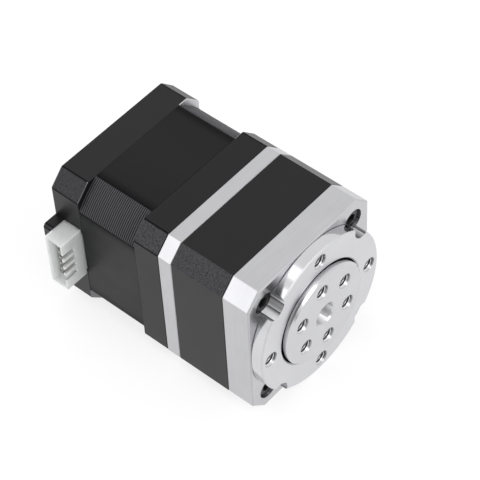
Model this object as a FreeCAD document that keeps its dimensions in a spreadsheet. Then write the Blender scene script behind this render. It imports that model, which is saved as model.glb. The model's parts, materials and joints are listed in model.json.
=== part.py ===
import FreeCAD, Part
import Sketcher
import math
import os

# A square-framed stepper motor with a strain wave gear on its front.
# Every piece is drawn in one working frame: z is the depth behind the front mounting face, x points
# right as seen from the front, and y points down. LAY_DOWN lays that z along the part's +Y axis.

LAY_DOWN = FreeCAD.Placement(FreeCAD.Vector(), FreeCAD.Rotation(FreeCAD.Vector(1, 0, 0), -90))

# Driving dimensions in millimetres, degrees or counts.
SIZES = [
    ("frame_width", 42.3, "side of the square frame"),
    ("corner_chamfer", 4.0, "bevel on the frame's long edges"),
    ("edge_break", 0.3, "small chamfer on turned edges"),
    ("block_break", 0.15, "chamfer round the ends of the square pieces"),
    ("cap_round", 0.9, "round on the long edges of the motor's caps"),
    ("seat_play", 0.02, "radial play of a located fit"),
    ("running_play", 0.05, "radial play of a running fit"),
    ("ring_inset", 0.15, "front ring inside the frame's sides"),
    ("ring_height", 3.1, "front ring above the plate"),
    ("ring_bore", 13.9, "front ring, inside radius"),
    ("seam_break", 0.2, "chamfer at the seam of ring and plate"),
    ("ring_hole_inset", 3.3, "frame's tapped holes inside the ring's edge"),
    ("ring_hole_count", 4, "frame's tapped holes"),
    ("tap_radius", 1.65, "tapping drill of the mounting holes"),
    ("sink_radius", 2.05, "countersink of the mounting holes"),
    ("plate_thick", 7.5, "front plate"),
    ("plate_round", 0.5, "round on the front plate's front and long edges"),
    ("bolt_spacing", 31.0, "corner screws, centre to centre"),
    ("screw_radius", 1.5, "corner and tie screws"),
    ("screw_play", 0.1, "radial play of a screw in its hole"),
    ("head_radius", 2.75, "socket head"),
    ("head_height", 3.0, "socket head"),
    ("head_play", 0.25, "radial play of a head in its pocket"),
    ("head_recess", 0.6, "head below the plate's face"),
    ("socket_flats", 2.5, "hexagon socket across flats"),
    ("socket_depth", 1.6, "hexagon socket"),
    ("small_socket", 1.5, "socket of the small screws across flats"),
    ("corner_screw_reach", 3.9, "corner screw's thread in the motor cap"),
    ("ring_screw_wall", 0.5, "wall between the bearing and the screws behind the ring"),
    ("ring_screw_turn", 22.5, "their angle from the tapped holes"),
    ("ring_screw_radius", 1.0, "screws behind the ring"),
    ("ring_screw_head", 1.9, "their head radius"),
    ("ring_screw_head_height", 2.0, "their head height"),
    ("ring_screw_reach", 2.2, "their thread in the ring"),
    ("disc_radius", 13.5, "output flange's disc"),
    ("disc_proud", 1.35, "disc's face ahead of the ring's face"),
    ("disc_chamfer", 0.5, "disc's front edge"),
    ("disc_depth", 3.0, "disc's back behind the ring's face"),
    ("shoulder_radius", 11.5, "flange's shoulder on the bearing"),
    ("hub_radius", 9.0, "flange's hub in the bearing"),
    ("flange_hole_circle", 17.5, "pitch circle of the output holes"),
    ("flange_hole_count", 6, "output holes"),
    ("flange_hole_turn", 6.3, "output pattern's turn from the vertical"),
    ("flange_hole_depth", 5.0, "output holes"),
    ("pilot_radius", 3.0, "output pilot bore"),
    ("pilot_depth", 8.0, "output pilot bore"),
    ("bearing_radius", 16.0, "output bearing, outside"),
    ("bearing_width", 6.1, "output bearing"),
    ("bearing_gap", 0.8, "radial gap between its rings"),
    ("roller_circle", 12.7, "radius of the roller centres"),
    ("roller_radius", 1.3, "crossed roller"),
    ("roller_length", 2.45, "crossed roller"),
    ("roller_count", 22, "crossed rollers, every second one turned"),
    ("retainer_radius", 11.2, "bearing retainer"),
    ("retainer_thick", 0.9, "bearing retainer"),
    ("clamp_radius", 8.0, "flexspline's boss and clamp ring"),
    ("clamp_bore", 3.2, "bore of boss and clamp ring"),
    ("boss_thick", 1.2, "flexspline's boss"),
    ("clamp_thick", 1.0, "clamp ring"),
    ("clamp_screw_circle", 11.6, "pitch circle of the clamp screws"),
    ("clamp_screw_count", 6, "clamp screws"),
    ("clamp_screw_radius", 1.0, "clamp screws"),
    ("clamp_screw_head", 1.7, "their head radius"),
    ("clamp_head_height", 1.3, "their head height"),
    ("clamp_screw_reach", 2.6, "their thread in the hub"),
    ("housing_length", 15.2, "gear housing"),
    ("cup_room", 15.2, "housing's bore round the cup, radius"),
    ("spline_radius", 19.0, "circular spline, outside"),
    ("spline_width", 8.5, "circular spline"),
    ("spline_teeth", 62, "teeth of the circular spline"),
    ("dowel_radius", 1.0, "dowels of the circular spline"),
    ("dowel_length", 7.0, "dowels"),
    ("dowel_depth", 3.0, "dowels in the housing"),
    ("flex_teeth", 60, "teeth of the flexspline"),
    ("flex_bore", 14.15, "flexspline's wall, inside radius when round"),
    ("flex_wall", 0.4, "flexspline's wall"),
    ("wave_lift", 0.5, "radial lift of the wave generator"),
    ("tooth_height", 0.85, "flexspline's teeth"),
    ("tooth_root", 1.05, "tooth thickness at its root"),
    ("tooth_flank", 25.0, "slope of a tooth's flank"),
    ("tooth_play", 0.05, "play on each flank"),
    ("tooth_gap", 0.09, "play between tip and root"),
    ("tooth_width", 7.4, "flexspline's toothed band"),
    ("mouth_gap", 0.6, "flexspline's mouth to the adapter"),
    ("web_thick", 0.4, "flexspline's diaphragm"),
    ("knee_height", 0.7, "cup's round foot at the diaphragm"),
    ("race_wall", 0.8, "flexible bearing's rings"),
    ("flex_ball", 1.1, "flexible bearing's ball radius"),
    ("flex_ball_count", 17, "flexible bearing's balls"),
    ("flex_bearing_width", 5.2, "flexible bearing"),
    ("cam_width", 6.0, "wave generator's cam"),
    ("cam_gap", 1.0, "cam to the adapter"),
    ("cam_hub", 6.5, "wave generator's hub radius"),
    ("cam_hub_length", 3.4, "wave generator's hub"),
    ("set_screw_radius", 1.2, "set screws in the hub"),
    ("adapter_thick", 3.9, "adapter plate"),
    ("seal_radius", 8.0, "shaft seal, outside"),
    ("seal_width", 1.6, "shaft seal"),
    ("register_radius", 11.0, "motor's front register"),
    ("register_height", 2.0, "motor's front register"),
    ("shaft_radius", 2.5, "motor shaft"),
    ("shaft_shoulder", 3.0, "shaft between the motor bearings"),
    ("shaft_room", 3.5, "shaft's hole in the front cap"),
    ("front_cap_length", 7.5, "motor front cap"),
    ("stack_length", 17.3, "stator stack"),
    ("stack_inset", 0.2, "stack inside the caps' faces"),
    ("stack_round", 25.4, "radius of the stack's corners"),
    ("rear_cap_length", 8.4, "motor rear cap"),
    ("race_radius", 8.0, "motor bearing, outside"),
    ("race_width", 5.0, "motor bearing"),
    ("inner_race", 4.0, "motor bearing's inner ring, outside"),
    ("outer_race", 6.6, "motor bearing's outer ring, inside"),
    ("ball_radius", 1.4, "motor bearing's balls"),
    ("ball_count", 7, "motor bearing's balls"),
    ("race_cover", 1.5, "register's wall ahead of the front bearing"),
    ("seat_wall", 1.6, "wall round a motor bearing"),
    ("winding_room", 17.8, "winding space, radius"),
    ("winding_depth", 4.0, "winding space in the front cap"),
    ("board_room", 6.2, "winding and board space in the rear cap"),
    ("rear_wall", 1.2, "rear cap behind the bearing"),
    ("back_recess", 11.0, "shallow round recess in the rear face, radius"),
    ("back_recess_depth", 0.4, "shallow round recess in the rear face"),
    ("washer_thick", 0.5, "wave washer"),
    ("stator_bore", 11.06, "stator's bore radius"),
    ("rotor_radius", 11.0, "rotor cores"),
    ("rotor_teeth", 50, "teeth of a rotor core"),
    ("gap_depth", 0.7, "depth of the tooth gaps in rotor and stator"),
    ("gap_width", 0.7, "width of the tooth gaps"),
    ("core_length", 7.0, "one rotor core"),
    ("magnet_length", 1.7, "magnet between the cores"),
    ("magnet_radius", 9.5, "magnet"),
    ("pole_count", 8, "stator poles"),
    ("pole_teeth", 6, "teeth on one pole"),
    ("pole_width", 3.2, "pole's neck"),
    ("shoe_depth", 1.9, "pole shoe"),
    ("slot_radius", 18.0, "bottom of the winding slots"),
    ("slot_mouth", 1.1, "opening between two pole shoes"),
    ("bobbin_wall", 0.5, "bobbin"),
    ("bobbin_rim", 2.4, "bobbin's rims above the stack"),
    ("lip_width", 8.4, "bobbin's lip on a pole shoe"),
    ("coil_build", 1.2, "thickness of one coil side"),
    ("coil_play", 0.1, "coil in its bobbin"),
    ("tie_head_radius", 2.75, "tie screw's pan head"),
    ("tie_head_height", 1.9, "tie screw's pan head"),
    ("tie_head_recess", 0.4, "tie screw's head below the rear face"),
    ("tie_screw_reach", 3.0, "tie screw's thread in the front cap"),
    ("board_thick", 1.0, "connection board"),
    ("board_radius", 17.3, "connection board"),
    ("header_proud", 6.6, "connector ahead of the frame's side"),
    ("header_height", 15.8, "connector along the frame's side"),
    ("header_width", 5.4, "connector along the axis"),
    ("header_wall", 0.65, "connector's wall"),
    ("header_mouth", 4.6, "connector's mating depth"),
    ("header_setback", 0.2, "connector behind the rear cap's front"),
    ("header_neck", 13.0, "connector's neck through the cap"),
    ("contact_pitch", 2.0, "connector's contacts"),
    ("contact_count", 6, "connector's contacts"),
    ("contact_side", 0.5, "square contact"),
    ("contact_inset", 1.0, "contact's leg inside the board's edge"),
    ("contact_recess", 1.2, "contact below the connector's mouth"),
    ("keyway_count", 4, "slots in the connector's wall"),
    ("keyway_pitch", 2.5, "slots in the connector's wall, centre to centre"),
    ("keyway_width", 1.3, "slots in the connector's wall"),
    ("keyway_depth", 3.6, "slots in the connector's wall"),
    ("shelf_proud", 4.2, "rear cap's shelf behind the connector"),
    ("shelf_round", 1.0, "shelf's outer corners"),
]

# Places that follow from the sizes, as formulas of the first sheet. Depths count back from the front
# mounting face.
PLACES = [
    ("half_width", "Dims.frame_width / 2"),
    ("bolt_half", "Dims.bolt_spacing / 2"),
    ("ring_radius", "half_width - Dims.ring_inset"),
    ("ring_hole_place", "ring_radius - Dims.ring_hole_inset"),
    ("ring_head_pocket", "Dims.ring_screw_head + Dims.screw_play"),
    ("ring_screw_place", "Dims.bearing_radius + Dims.ring_screw_wall + ring_head_pocket"),
    ("screw_hole", "Dims.screw_radius + Dims.screw_play"),
    ("screw_thread", "Dims.screw_radius + Dims.seat_play"),
    ("head_pocket", "Dims.head_radius + Dims.head_play"),
    ("disc_front", "-Dims.disc_proud"),
    ("plate_front", "Dims.ring_height"),
    ("plate_back", "plate_front + Dims.plate_thick"),
    ("housing_back", "plate_back + Dims.housing_length"),
    ("adapter_back", "housing_back + Dims.adapter_thick"),
    ("front_cap_back", "adapter_back + Dims.front_cap_length"),
    ("stack_back", "front_cap_back + Dims.stack_length"),
    ("rear_cap_back", "stack_back + Dims.rear_cap_length"),
    ("head_top", "plate_front + Dims.head_recess"),
    ("head_seat", "head_top + Dims.head_height"),
    ("bearing_back", "plate_back"),
    ("bearing_front", "bearing_back - Dims.bearing_width"),
    ("roller_depth", "(bearing_front + bearing_back) / 2"),
    ("groove_reach", "(Dims.roller_radius + Dims.running_play) * sqrt(2)"),
    ("groove_half_gap", "groove_reach - Dims.bearing_gap / 2"),
    ("inner_ring_out", "Dims.roller_circle - Dims.bearing_gap / 2"),
    ("outer_ring_in", "Dims.roller_circle + Dims.bearing_gap / 2"),
    ("retainer_back", "bearing_back + Dims.retainer_thick"),
    ("boss_back", "retainer_back + Dims.boss_thick"),
    ("clamp_back", "boss_back + Dims.clamp_thick"),
    ("clamp_head_back", "clamp_back + Dims.clamp_head_height"),
    ("spline_front", "housing_back - Dims.spline_width"),
    ("flex_back", "housing_back - Dims.mouth_gap"),
    ("tooth_front", "flex_back - Dims.tooth_width"),
    ("flex_out", "Dims.flex_bore + Dims.flex_wall"),
    ("space_tip", "flex_out + Dims.wave_lift + Dims.tooth_gap"),
    ("space_root", "space_tip + Dims.tooth_height"),
    ("flank_play", "Dims.tooth_play / cos(Dims.tooth_flank)"),
    ("space_half_tip", "Dims.tooth_root / 2 - Dims.tooth_gap * tan(Dims.tooth_flank) + flank_play"),
    ("space_half_root", "space_half_tip - Dims.tooth_height * tan(Dims.tooth_flank)"),
    ("cam_back", "housing_back - Dims.cam_gap"),
    ("cam_front", "cam_back - Dims.cam_width"),
    ("hub_front", "cam_front - Dims.cam_hub_length"),
    ("flex_race_front", "(cam_front + cam_back - Dims.flex_bearing_width) / 2"),
    ("flex_race_out", "Dims.flex_bore - Dims.seat_play"),
    ("flex_race_mid", "flex_race_out - Dims.race_wall - Dims.seat_play - Dims.flex_ball"),
    ("flex_race_in", "flex_race_mid - Dims.flex_ball - Dims.seat_play - Dims.race_wall"),
    ("cam_radius", "flex_race_in - Dims.seat_play"),
    ("shaft_front", "hub_front + Dims.edge_break"),
    ("register_front", "adapter_back - Dims.register_height"),
    ("register_seat", "register_front - Dims.seat_play"),
    ("front_race_front", "register_front + Dims.race_cover"),
    ("front_race_back", "front_race_front + Dims.race_width"),
    ("washer_back", "rear_cap_back - Dims.rear_wall"),
    ("rear_race_back", "washer_back - Dims.washer_thick"),
    ("rear_race_front", "rear_race_back - Dims.race_width"),
    ("ball_circle", "(Dims.inner_race + Dims.outer_race) / 2"),
    ("ball_groove", "Dims.ball_radius + Dims.running_play"),
    ("rotor_front", "(front_cap_back + stack_back - Dims.magnet_length) / 2 - Dims.core_length"),
    ("magnet_front", "rotor_front + Dims.core_length"),
    ("magnet_back", "magnet_front + Dims.magnet_length"),
    ("shoe_back", "Dims.stator_bore + Dims.shoe_depth"),
    ("board_back", "stack_back + Dims.board_room"),
    ("header_front", "stack_back + Dims.header_setback"),
    ("header_back", "header_front + Dims.header_width"),
    ("header_face", "-half_width - Dims.header_proud"),
    ("header_middle", "(header_front + header_back) / 2"),
    ("contact_inner", "-Dims.board_radius + Dims.contact_inset"),
    ("tie_head_front", "rear_cap_back - Dims.tie_head_recess - Dims.tie_head_height"),
]

doc = FreeCAD.newDocument("geared_stepper")
dims = doc.addObject("Spreadsheet::Sheet", "Dims")
for row, (alias, value, note) in enumerate(SIZES, start=1):
    dims.set(f"A{row}", note)
    dims.set(f"B{row}", str(value))
    dims.setAlias(f"B{row}", alias)
places = doc.addObject("Spreadsheet::Sheet", "Places")
for row, (alias, formula) in enumerate(PLACES, start=1):
    places.set(f"A{row}", "=" + formula)
    places.setAlias(f"A{row}", alias)
doc.recompute()

PIECES = []


def number(expression):
    """Return what an expression of the sheets is worth now."""
    value = dims.evalExpression(str(expression))
    return float(getattr(value, "Value", value))


def new_body(label):
    """Start a piece as a body that may hold several separate solids."""
    body = doc.addObject("PartDesign::Body", label)
    body.Label = label
    body.AllowCompound = True
    body.Placement = LAY_DOWN
    PIECES.append(body)
    return body


def origin_feature(body, role):
    """Find one of a body's own planes or axes."""
    return next(f for f in body.Origin.OriginFeatures if f.Role == role)


def new_sketch(body, role="XY_Plane", offset="0"):
    """Open a sketch on one of the body's planes, moved along the plane's normal."""
    sketch = body.newObject("Sketcher::SketchObject", body.Label + "_sketch")
    sketch.AttachmentSupport = [(origin_feature(body, role), "")]
    sketch.MapMode = "FlatFace"
    sketch.setExpression("AttachmentOffset.Base.z", str(offset))
    return sketch


def hold_point(sketch, geometry, point, x, y):
    """Tie a point of a sketch to two expressions, measured from the sketch's origin."""
    for kind, expression in (("DistanceX", x), ("DistanceY", y)):
        rule = Sketcher.Constraint(kind, -1, 1, geometry, point, number(expression))
        index = sketch.addConstraint(rule)
        sketch.setExpression(f"Constraints[{index}]", str(expression))


def draw_outline(sketch, corners):
    """Draw a closed outline of straight lines through corners given as pairs of expressions."""
    spots = [FreeCAD.Vector(number(x), number(y), 0) for x, y in corners]
    count = len(spots)
    first = sketch.GeometryCount
    sketch.addGeometry([Part.LineSegment(spots[i], spots[(i + 1) % count]) for i in range(count)], False)
    for i in range(count):
        sketch.addConstraint(Sketcher.Constraint("Coincident", first + i, 2, first + (i + 1) % count, 1))
    for i, (x, y) in enumerate(corners):
        hold_point(sketch, first + i, 1, x, y)
    return sketch


def draw_circle(sketch, x, y, radius):
    """Draw a circle whose centre and radius are expressions."""
    centre = FreeCAD.Vector(number(x), number(y), 0)
    circle = sketch.addGeometry(Part.Circle(centre, FreeCAD.Vector(0, 0, 1), number(radius)), False)
    hold_point(sketch, circle, 3, x, y)
    index = sketch.addConstraint(Sketcher.Constraint("Radius", circle, number(radius)))
    sketch.setExpression(f"Constraints[{index}]", str(radius))
    return sketch


def rectangle(left, right, low, high):
    """Corners of an upright rectangle."""
    return [(left, low), (right, low), (right, high), (left, high)]


def frame_outline():
    """Corners of the square frame with its bevelled edges."""
    half = "Places.half_width"
    near = "(Places.half_width - Dims.corner_chamfer)"
    return [
        (f"-{near}", f"-{half}"), (near, f"-{half}"), (half, f"-{near}"), (half, near),
        (near, half), (f"-{near}", half), (f"-{half}", near), (f"-{half}", f"-{near}"),
    ]


def turned(x, y, angle):
    """Turn a point of expressions about the origin by an angle in degrees."""
    return (f"({x}) * cos({angle}) - ({y}) * sin({angle})", f"({x}) * sin({angle}) + ({y}) * cos({angle})")


def pad(body, sketch, length):
    """Raise a sketch along its normal."""
    feature = body.newObject("PartDesign::Pad", body.Label + "_pad")
    feature.Profile = sketch
    feature.setExpression("Length", length)
    return feature


def cut(body, sketch, length):
    """Sink a sketch into the piece along the sketch's normal."""
    feature = body.newObject("PartDesign::Pocket", body.Label + "_cut")
    feature.Profile = sketch
    feature.Reversed = True
    feature.setExpression("Length", length)
    return feature


def revolve(body, sketch, kind="Revolution"):
    """Turn a sketch of (radius, depth) about its upright axis, to add material or to cut a groove."""
    feature = body.newObject("PartDesign::" + kind, body.Label + "_turned")
    feature.Profile = sketch
    feature.ReferenceAxis = (sketch, ["V_Axis"])
    feature.Angle = 360
    return feature


def turn(body, corners):
    """Turn an outline of (radius, depth) corners about the axis."""
    return revolve(body, draw_outline(new_sketch(body, "XZ_Plane"), corners))


def sink(body, place, corners):
    """Cut a turned hole, drawn as (radius, depth) corners, on an axis of its own."""
    x, y = place
    sketch = new_sketch(body, "XZ_Plane", f"-({y})")
    sketch.setExpression("AttachmentOffset.Base.x", x)
    return revolve(body, draw_outline(sketch, corners), "Groove")


def solid_at(body, kind, x, y, z, **sizes):
    """Add a basic solid to a body at a place given by expressions."""
    feature = body.newObject("PartDesign::" + kind, body.Label + "_" + kind)
    feature.AttachmentSupport = [(origin_feature(body, "XY_Plane"), "")]
    feature.MapMode = "FlatFace"
    for axis, expression in (("x", x), ("y", y), ("z", z)):
        feature.setExpression("AttachmentOffset.Base." + axis, str(expression))
    for name, expression in sizes.items():
        feature.setExpression(name, str(expression))
    return feature


def repeat(body, features, count):
    """Repeat features round the axis."""
    pattern = body.newObject("PartDesign::PolarPattern", body.Label + "_pattern")
    pattern.Originals = features
    pattern.Axis = (origin_feature(body, "Z_Axis"), [""])
    pattern.Angle = 360
    pattern.setExpression("Occurrences", str(count))
    body.Tip = pattern
    return pattern


def corner_holes(body, front, length, radius):
    """Sink one hole on each corner screw's axis."""
    sketch = new_sketch(body, offset=front)
    for across in ("", "-"):
        for down in ("", "-"):
            draw_circle(sketch, across + "Places.bolt_half", down + "Places.bolt_half", radius)
    return cut(body, sketch, length)


def square_block(label, front, length, rounding=None, round_front=False):
    """Start a piece with the frame's outline and a small chamfer round both ends.

    With rounding, a radius, the long edges are rounded, and with round_front the front edges are too, in
    place of the front's chamfer.
    """
    body = new_body(label)
    block = pad(body, draw_outline(new_sketch(body, offset=front), frame_outline()), length)
    doc.recompute()
    if rounding:
        start = number(front)
        names = [
            f"Edge{i}" for i, edge in enumerate(block.Shape.Edges, start=1)
            if edge.BoundBox.ZLength > 1e-3 or (round_front and edge.BoundBox.ZMax < start + 1e-3)
        ]
        fillet = body.newObject("PartDesign::Fillet", label + "_round")
        fillet.Base = (block, names)
        fillet.setExpression("Radius", rounding)
        doc.recompute()
        block = fillet
    ends = []
    for i, face in enumerate(block.Shape.Faces, start=1):
        slope = face.normalAt(0, 0).z
        if slope > 0.999 or (slope < -0.999 and not round_front):
            ends.append(f"Face{i}")
    chamfer = body.newObject("PartDesign::Chamfer", label + "_edges")
    chamfer.Base = (block, ends)
    chamfer.setExpression("Size", "Dims.block_break")
    return body


def round_cut(body, radius, front, length):
    """Sink a round hole on the axis."""
    return cut(body, draw_circle(new_sketch(body, offset=front), "0", "0", radius), length)


def hexagon(flats):
    """Corners of a hexagon across its flats."""
    return [turned(f"{flats} / sqrt(3)", "0", 60 * k) for k in range(6)]


def draw_ellipse(sketch, along, across):
    """Draw an ellipse about the origin with its half axes along x and y."""
    curve = sketch.GeometryCount
    sketch.addGeometry(Part.Ellipse(FreeCAD.Vector(), number(along), number(across)), False)
    sketch.exposeInternalGeometry(curve)
    sketch.addConstraint(Sketcher.Constraint("Coincident", curve, 3, -1, 1))
    sketch.addConstraint(Sketcher.Constraint("Horizontal", curve + 1))
    for line, half in ((curve + 1, along), (curve + 2, across)):
        index = sketch.addConstraint(Sketcher.Constraint("Distance", line, 2 * number(half)))
        sketch.setExpression(f"Constraints[{index}]", f"2 * ({half})")
    return sketch


def oval(sketch, radius):
    """Draw the oval that a round of this radius takes on the wave generator."""
    return draw_ellipse(sketch, f"{radius} + Dims.wave_lift", f"{radius} - Dims.wave_lift")


def draw_race(sketch, plain, raced, front, back):
    """Draw the section of a ball bearing's ring: a rectangle with a round race in one of its sides."""
    middle = f"({front} + {back}) / 2"
    depth = number(middle)
    centre = FreeCAD.Vector(number("Places.ball_circle"), depth, 0)
    groove = number("Places.ball_groove")
    side = number(raced)
    half = math.sqrt(groove ** 2 - (side - centre.x) ** 2)
    path = [(plain, front), (raced, front), (raced, middle), (raced, middle), (raced, back), (plain, back)]
    spots = [FreeCAD.Vector(number(x), number(y), 0) for x, y in path]
    spots[2].y -= half
    spots[3].y += half
    ends = [(0, 1), (1, 2), (3, 4), (4, 5), (5, 0)]
    sketch.addGeometry([Part.LineSegment(spots[a], spots[b]) for a, b in ends], False)
    bend = math.asin(half / groove)
    outward = side > centre.x
    start = -bend if outward else math.pi - bend
    circle = Part.Circle(centre, FreeCAD.Vector(0, 0, 1), groove)
    arc = sketch.addGeometry(Part.ArcOfCircle(circle, start, start + 2 * bend), False)
    low, high = (1, 2) if outward else (2, 1)
    for one, one_end, other, other_end in (
        (0, 2, 1, 1), (2, 2, 3, 1), (3, 2, 4, 1), (4, 2, 0, 1), (1, 2, arc, low), (2, 1, arc, high),
    ):
        sketch.addConstraint(Sketcher.Constraint("Coincident", one, one_end, other, other_end))
    for line, (x, y) in ((0, (plain, front)), (1, (raced, front)), (3, (raced, back)), (4, (plain, back))):
        hold_point(sketch, line, 1, x, y)
    for line in (1, 2):
        sketch.addConstraint(Sketcher.Constraint("Vertical", line))
    hold_point(sketch, arc, 3, "Places.ball_circle", middle)
    index = sketch.addConstraint(Sketcher.Constraint("Radius", arc, groove))
    sketch.setExpression(f"Constraints[{index}]", "Places.ball_groove")
    return sketch


def draw_rounded_square(sketch, half, radius):
    """Draw a square whose corners are arcs of one circle about the origin."""
    reach = number(half)
    arc_radius = number(radius)
    short = math.sqrt(arc_radius ** 2 - reach ** 2)
    first_angle = math.atan2(short, reach)
    for side in range(4):
        angle = side * math.pi / 2
        way = FreeCAD.Rotation(FreeCAD.Vector(0, 0, 1), math.degrees(angle))
        low = way.multVec(FreeCAD.Vector(reach, -short, 0))
        high = way.multVec(FreeCAD.Vector(reach, short, 0))
        sketch.addGeometry(Part.LineSegment(low, high), False)
        circle = Part.Circle(FreeCAD.Vector(), FreeCAD.Vector(0, 0, 1), arc_radius)
        start = angle + first_angle
        sketch.addGeometry(Part.ArcOfCircle(circle, start, angle + math.pi / 2 - first_angle), False)
    for side in range(4):
        line, arc, following = 2 * side, 2 * side + 1, (2 * side + 2) % 8
        sketch.addConstraint(Sketcher.Constraint("Coincident", line, 2, arc, 1))
        sketch.addConstraint(Sketcher.Constraint("Coincident", arc, 2, following, 1))
        sketch.addConstraint(Sketcher.Constraint("Coincident", arc, 3, -1, 1))
        upright = side % 2 == 0
        sketch.addConstraint(Sketcher.Constraint("Vertical" if upright else "Horizontal", line))
        sign = 1 if side in (0, 1) else -1
        kind = "DistanceX" if upright else "DistanceY"
        index = sketch.addConstraint(Sketcher.Constraint(kind, -1, 1, line, 1, sign * reach))
        sketch.setExpression(f"Constraints[{index}]", f"{sign} * ({half})")
    index = sketch.addConstraint(Sketcher.Constraint("Radius", 1, arc_radius))
    sketch.setExpression(f"Constraints[{index}]", radius)
    for arc in (3, 5, 7):
        sketch.addConstraint(Sketcher.Constraint("Equal", 1, arc))
    return sketch


def between(one, other):
    """Return the front depth and the length of the stretch between two depths."""
    return f"min({one}; {other})", f"abs({one} - ({other}))"


def screws(label, place, count, face, seat, tip, head, shank, flats, socket):
    """Cap screws spread round the axis, each a head, a shank and a hexagon socket.

    place is the first screw's axis; face, seat and tip are the depths of the head's face, the head's
    underside and the screw's end, so the head looks forward when the face lies ahead of the seat.
    """
    body = new_body(label)
    x, y = place
    features = []
    for radius, one, other in ((head, face, seat), (shank, seat, tip)):
        front, length = between(one, other)
        features.append(pad(body, draw_circle(new_sketch(body, offset=front), x, y, radius), length))
    inward = "+" if number(seat) > number(face) else "-"
    front, length = between(face, f"({face} {inward} {socket})")
    corners = [(f"{x} + {a}", f"{y} + {b}") for a, b in hexagon(flats)]
    features.append(cut(body, draw_outline(new_sketch(body, offset=front), corners), length))
    repeat(body, features, count)


def tapped_holes(body, place, count, front, length):
    """Tapped holes with a countersunk mouth, spread round the axis and open to the front."""
    tap, mouth, floor = "Dims.tap_radius", "Dims.sink_radius", f"{front} + {length}"
    hole = sink(body, place, [
        ("0", front), (mouth, front), (tap, f"{front} + {mouth} - {tap}"), (tap, floor), ("0", floor),
    ])
    repeat(body, [hole], count)


def drilled(body, place, count, front, length, radius):
    """Plain holes spread round the axis."""
    x, y = place
    hole = cut(body, draw_circle(new_sketch(body, offset=front), x, y, radius), length)
    repeat(body, [hole], count)


RING_HOLE = ("Places.ring_hole_place", "0")
RING_SCREW = turned("Places.ring_screw_place", "0", "Dims.ring_screw_turn")
FLANGE_HOLE = turned("Dims.flange_hole_circle / 2", "0", "-90 - Dims.flange_hole_turn")
CLAMP_SCREW = turned("Dims.clamp_screw_circle / 2", "0", "-90 - Dims.flange_hole_turn")
CORNER = ("Places.bolt_half", "Places.bolt_half")
DOWEL = ("0", "(Places.space_root + Dims.spline_radius) / 2")


def make_front_ring():
    """Round ring that closes the output bearing and carries the frame's tapped holes."""
    body = new_body("front_ring")
    edge, seam, outside, bore = "Dims.edge_break", "Dims.seam_break", "Places.ring_radius", "Dims.ring_bore"
    spigot = "Dims.bearing_radius - Dims.seat_play"
    turn(body, [
        (bore, edge), (f"{bore} + {edge}", "0"), (f"{outside} - {edge}", "0"), (outside, edge),
        (outside, f"Places.plate_front - {seam}"), (f"{outside} - {seam}", "Places.plate_front"),
        (spigot, "Places.plate_front"), (spigot, "Places.bearing_front"), (bore, "Places.bearing_front"),
    ])
    tapped_holes(body, RING_HOLE, "Dims.ring_hole_count", "0", "Places.plate_front")
    corner_holes(body, "0", "Places.plate_front", "Places.head_pocket")
    drilled(body, RING_SCREW, "Dims.ring_hole_count", "Places.plate_front - Dims.ring_screw_reach",
            "Dims.ring_screw_reach", "Dims.ring_screw_radius + Dims.seat_play")


def make_front_plate():
    """Square plate with the output bearing's seat and the corner screws' pockets."""
    body = square_block("front_plate", "Places.plate_front", "Dims.plate_thick", "Dims.plate_round", True)
    round_cut(body, "Dims.bearing_radius", "Places.plate_front", "Dims.plate_thick")
    corner_holes(body, "Places.plate_front", "Dims.head_recess + Dims.head_height", "Places.head_pocket")
    corner_holes(body, "Places.head_seat", "Places.plate_back - Places.head_seat", "Places.screw_hole")
    drilled(body, RING_SCREW, "Dims.ring_hole_count", "Places.plate_front", "Dims.plate_thick",
            "Dims.ring_screw_radius + Dims.screw_play")
    drilled(body, RING_SCREW, "Dims.ring_hole_count", "Places.plate_back - Dims.ring_screw_head_height",
            "Dims.ring_screw_head_height", "Places.ring_head_pocket")


def make_front_screws():
    """Long corner screws that clamp plate, housing and adapter to the motor, and the ring's screws."""
    screws("corner_screws", CORNER, 4, "Places.head_top", "Places.head_seat",
           "Places.adapter_back + Dims.corner_screw_reach", "Dims.head_radius", "Dims.screw_radius",
           "Dims.socket_flats", "Dims.socket_depth")
    screws("ring_screws", RING_SCREW, "Dims.ring_hole_count", "Places.plate_back",
           "Places.plate_back - Dims.ring_screw_head_height", "Places.plate_front - Dims.ring_screw_reach",
           "Dims.ring_screw_head", "Dims.ring_screw_radius", "Dims.small_socket",
           "Dims.ring_screw_head_height / 2")


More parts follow.
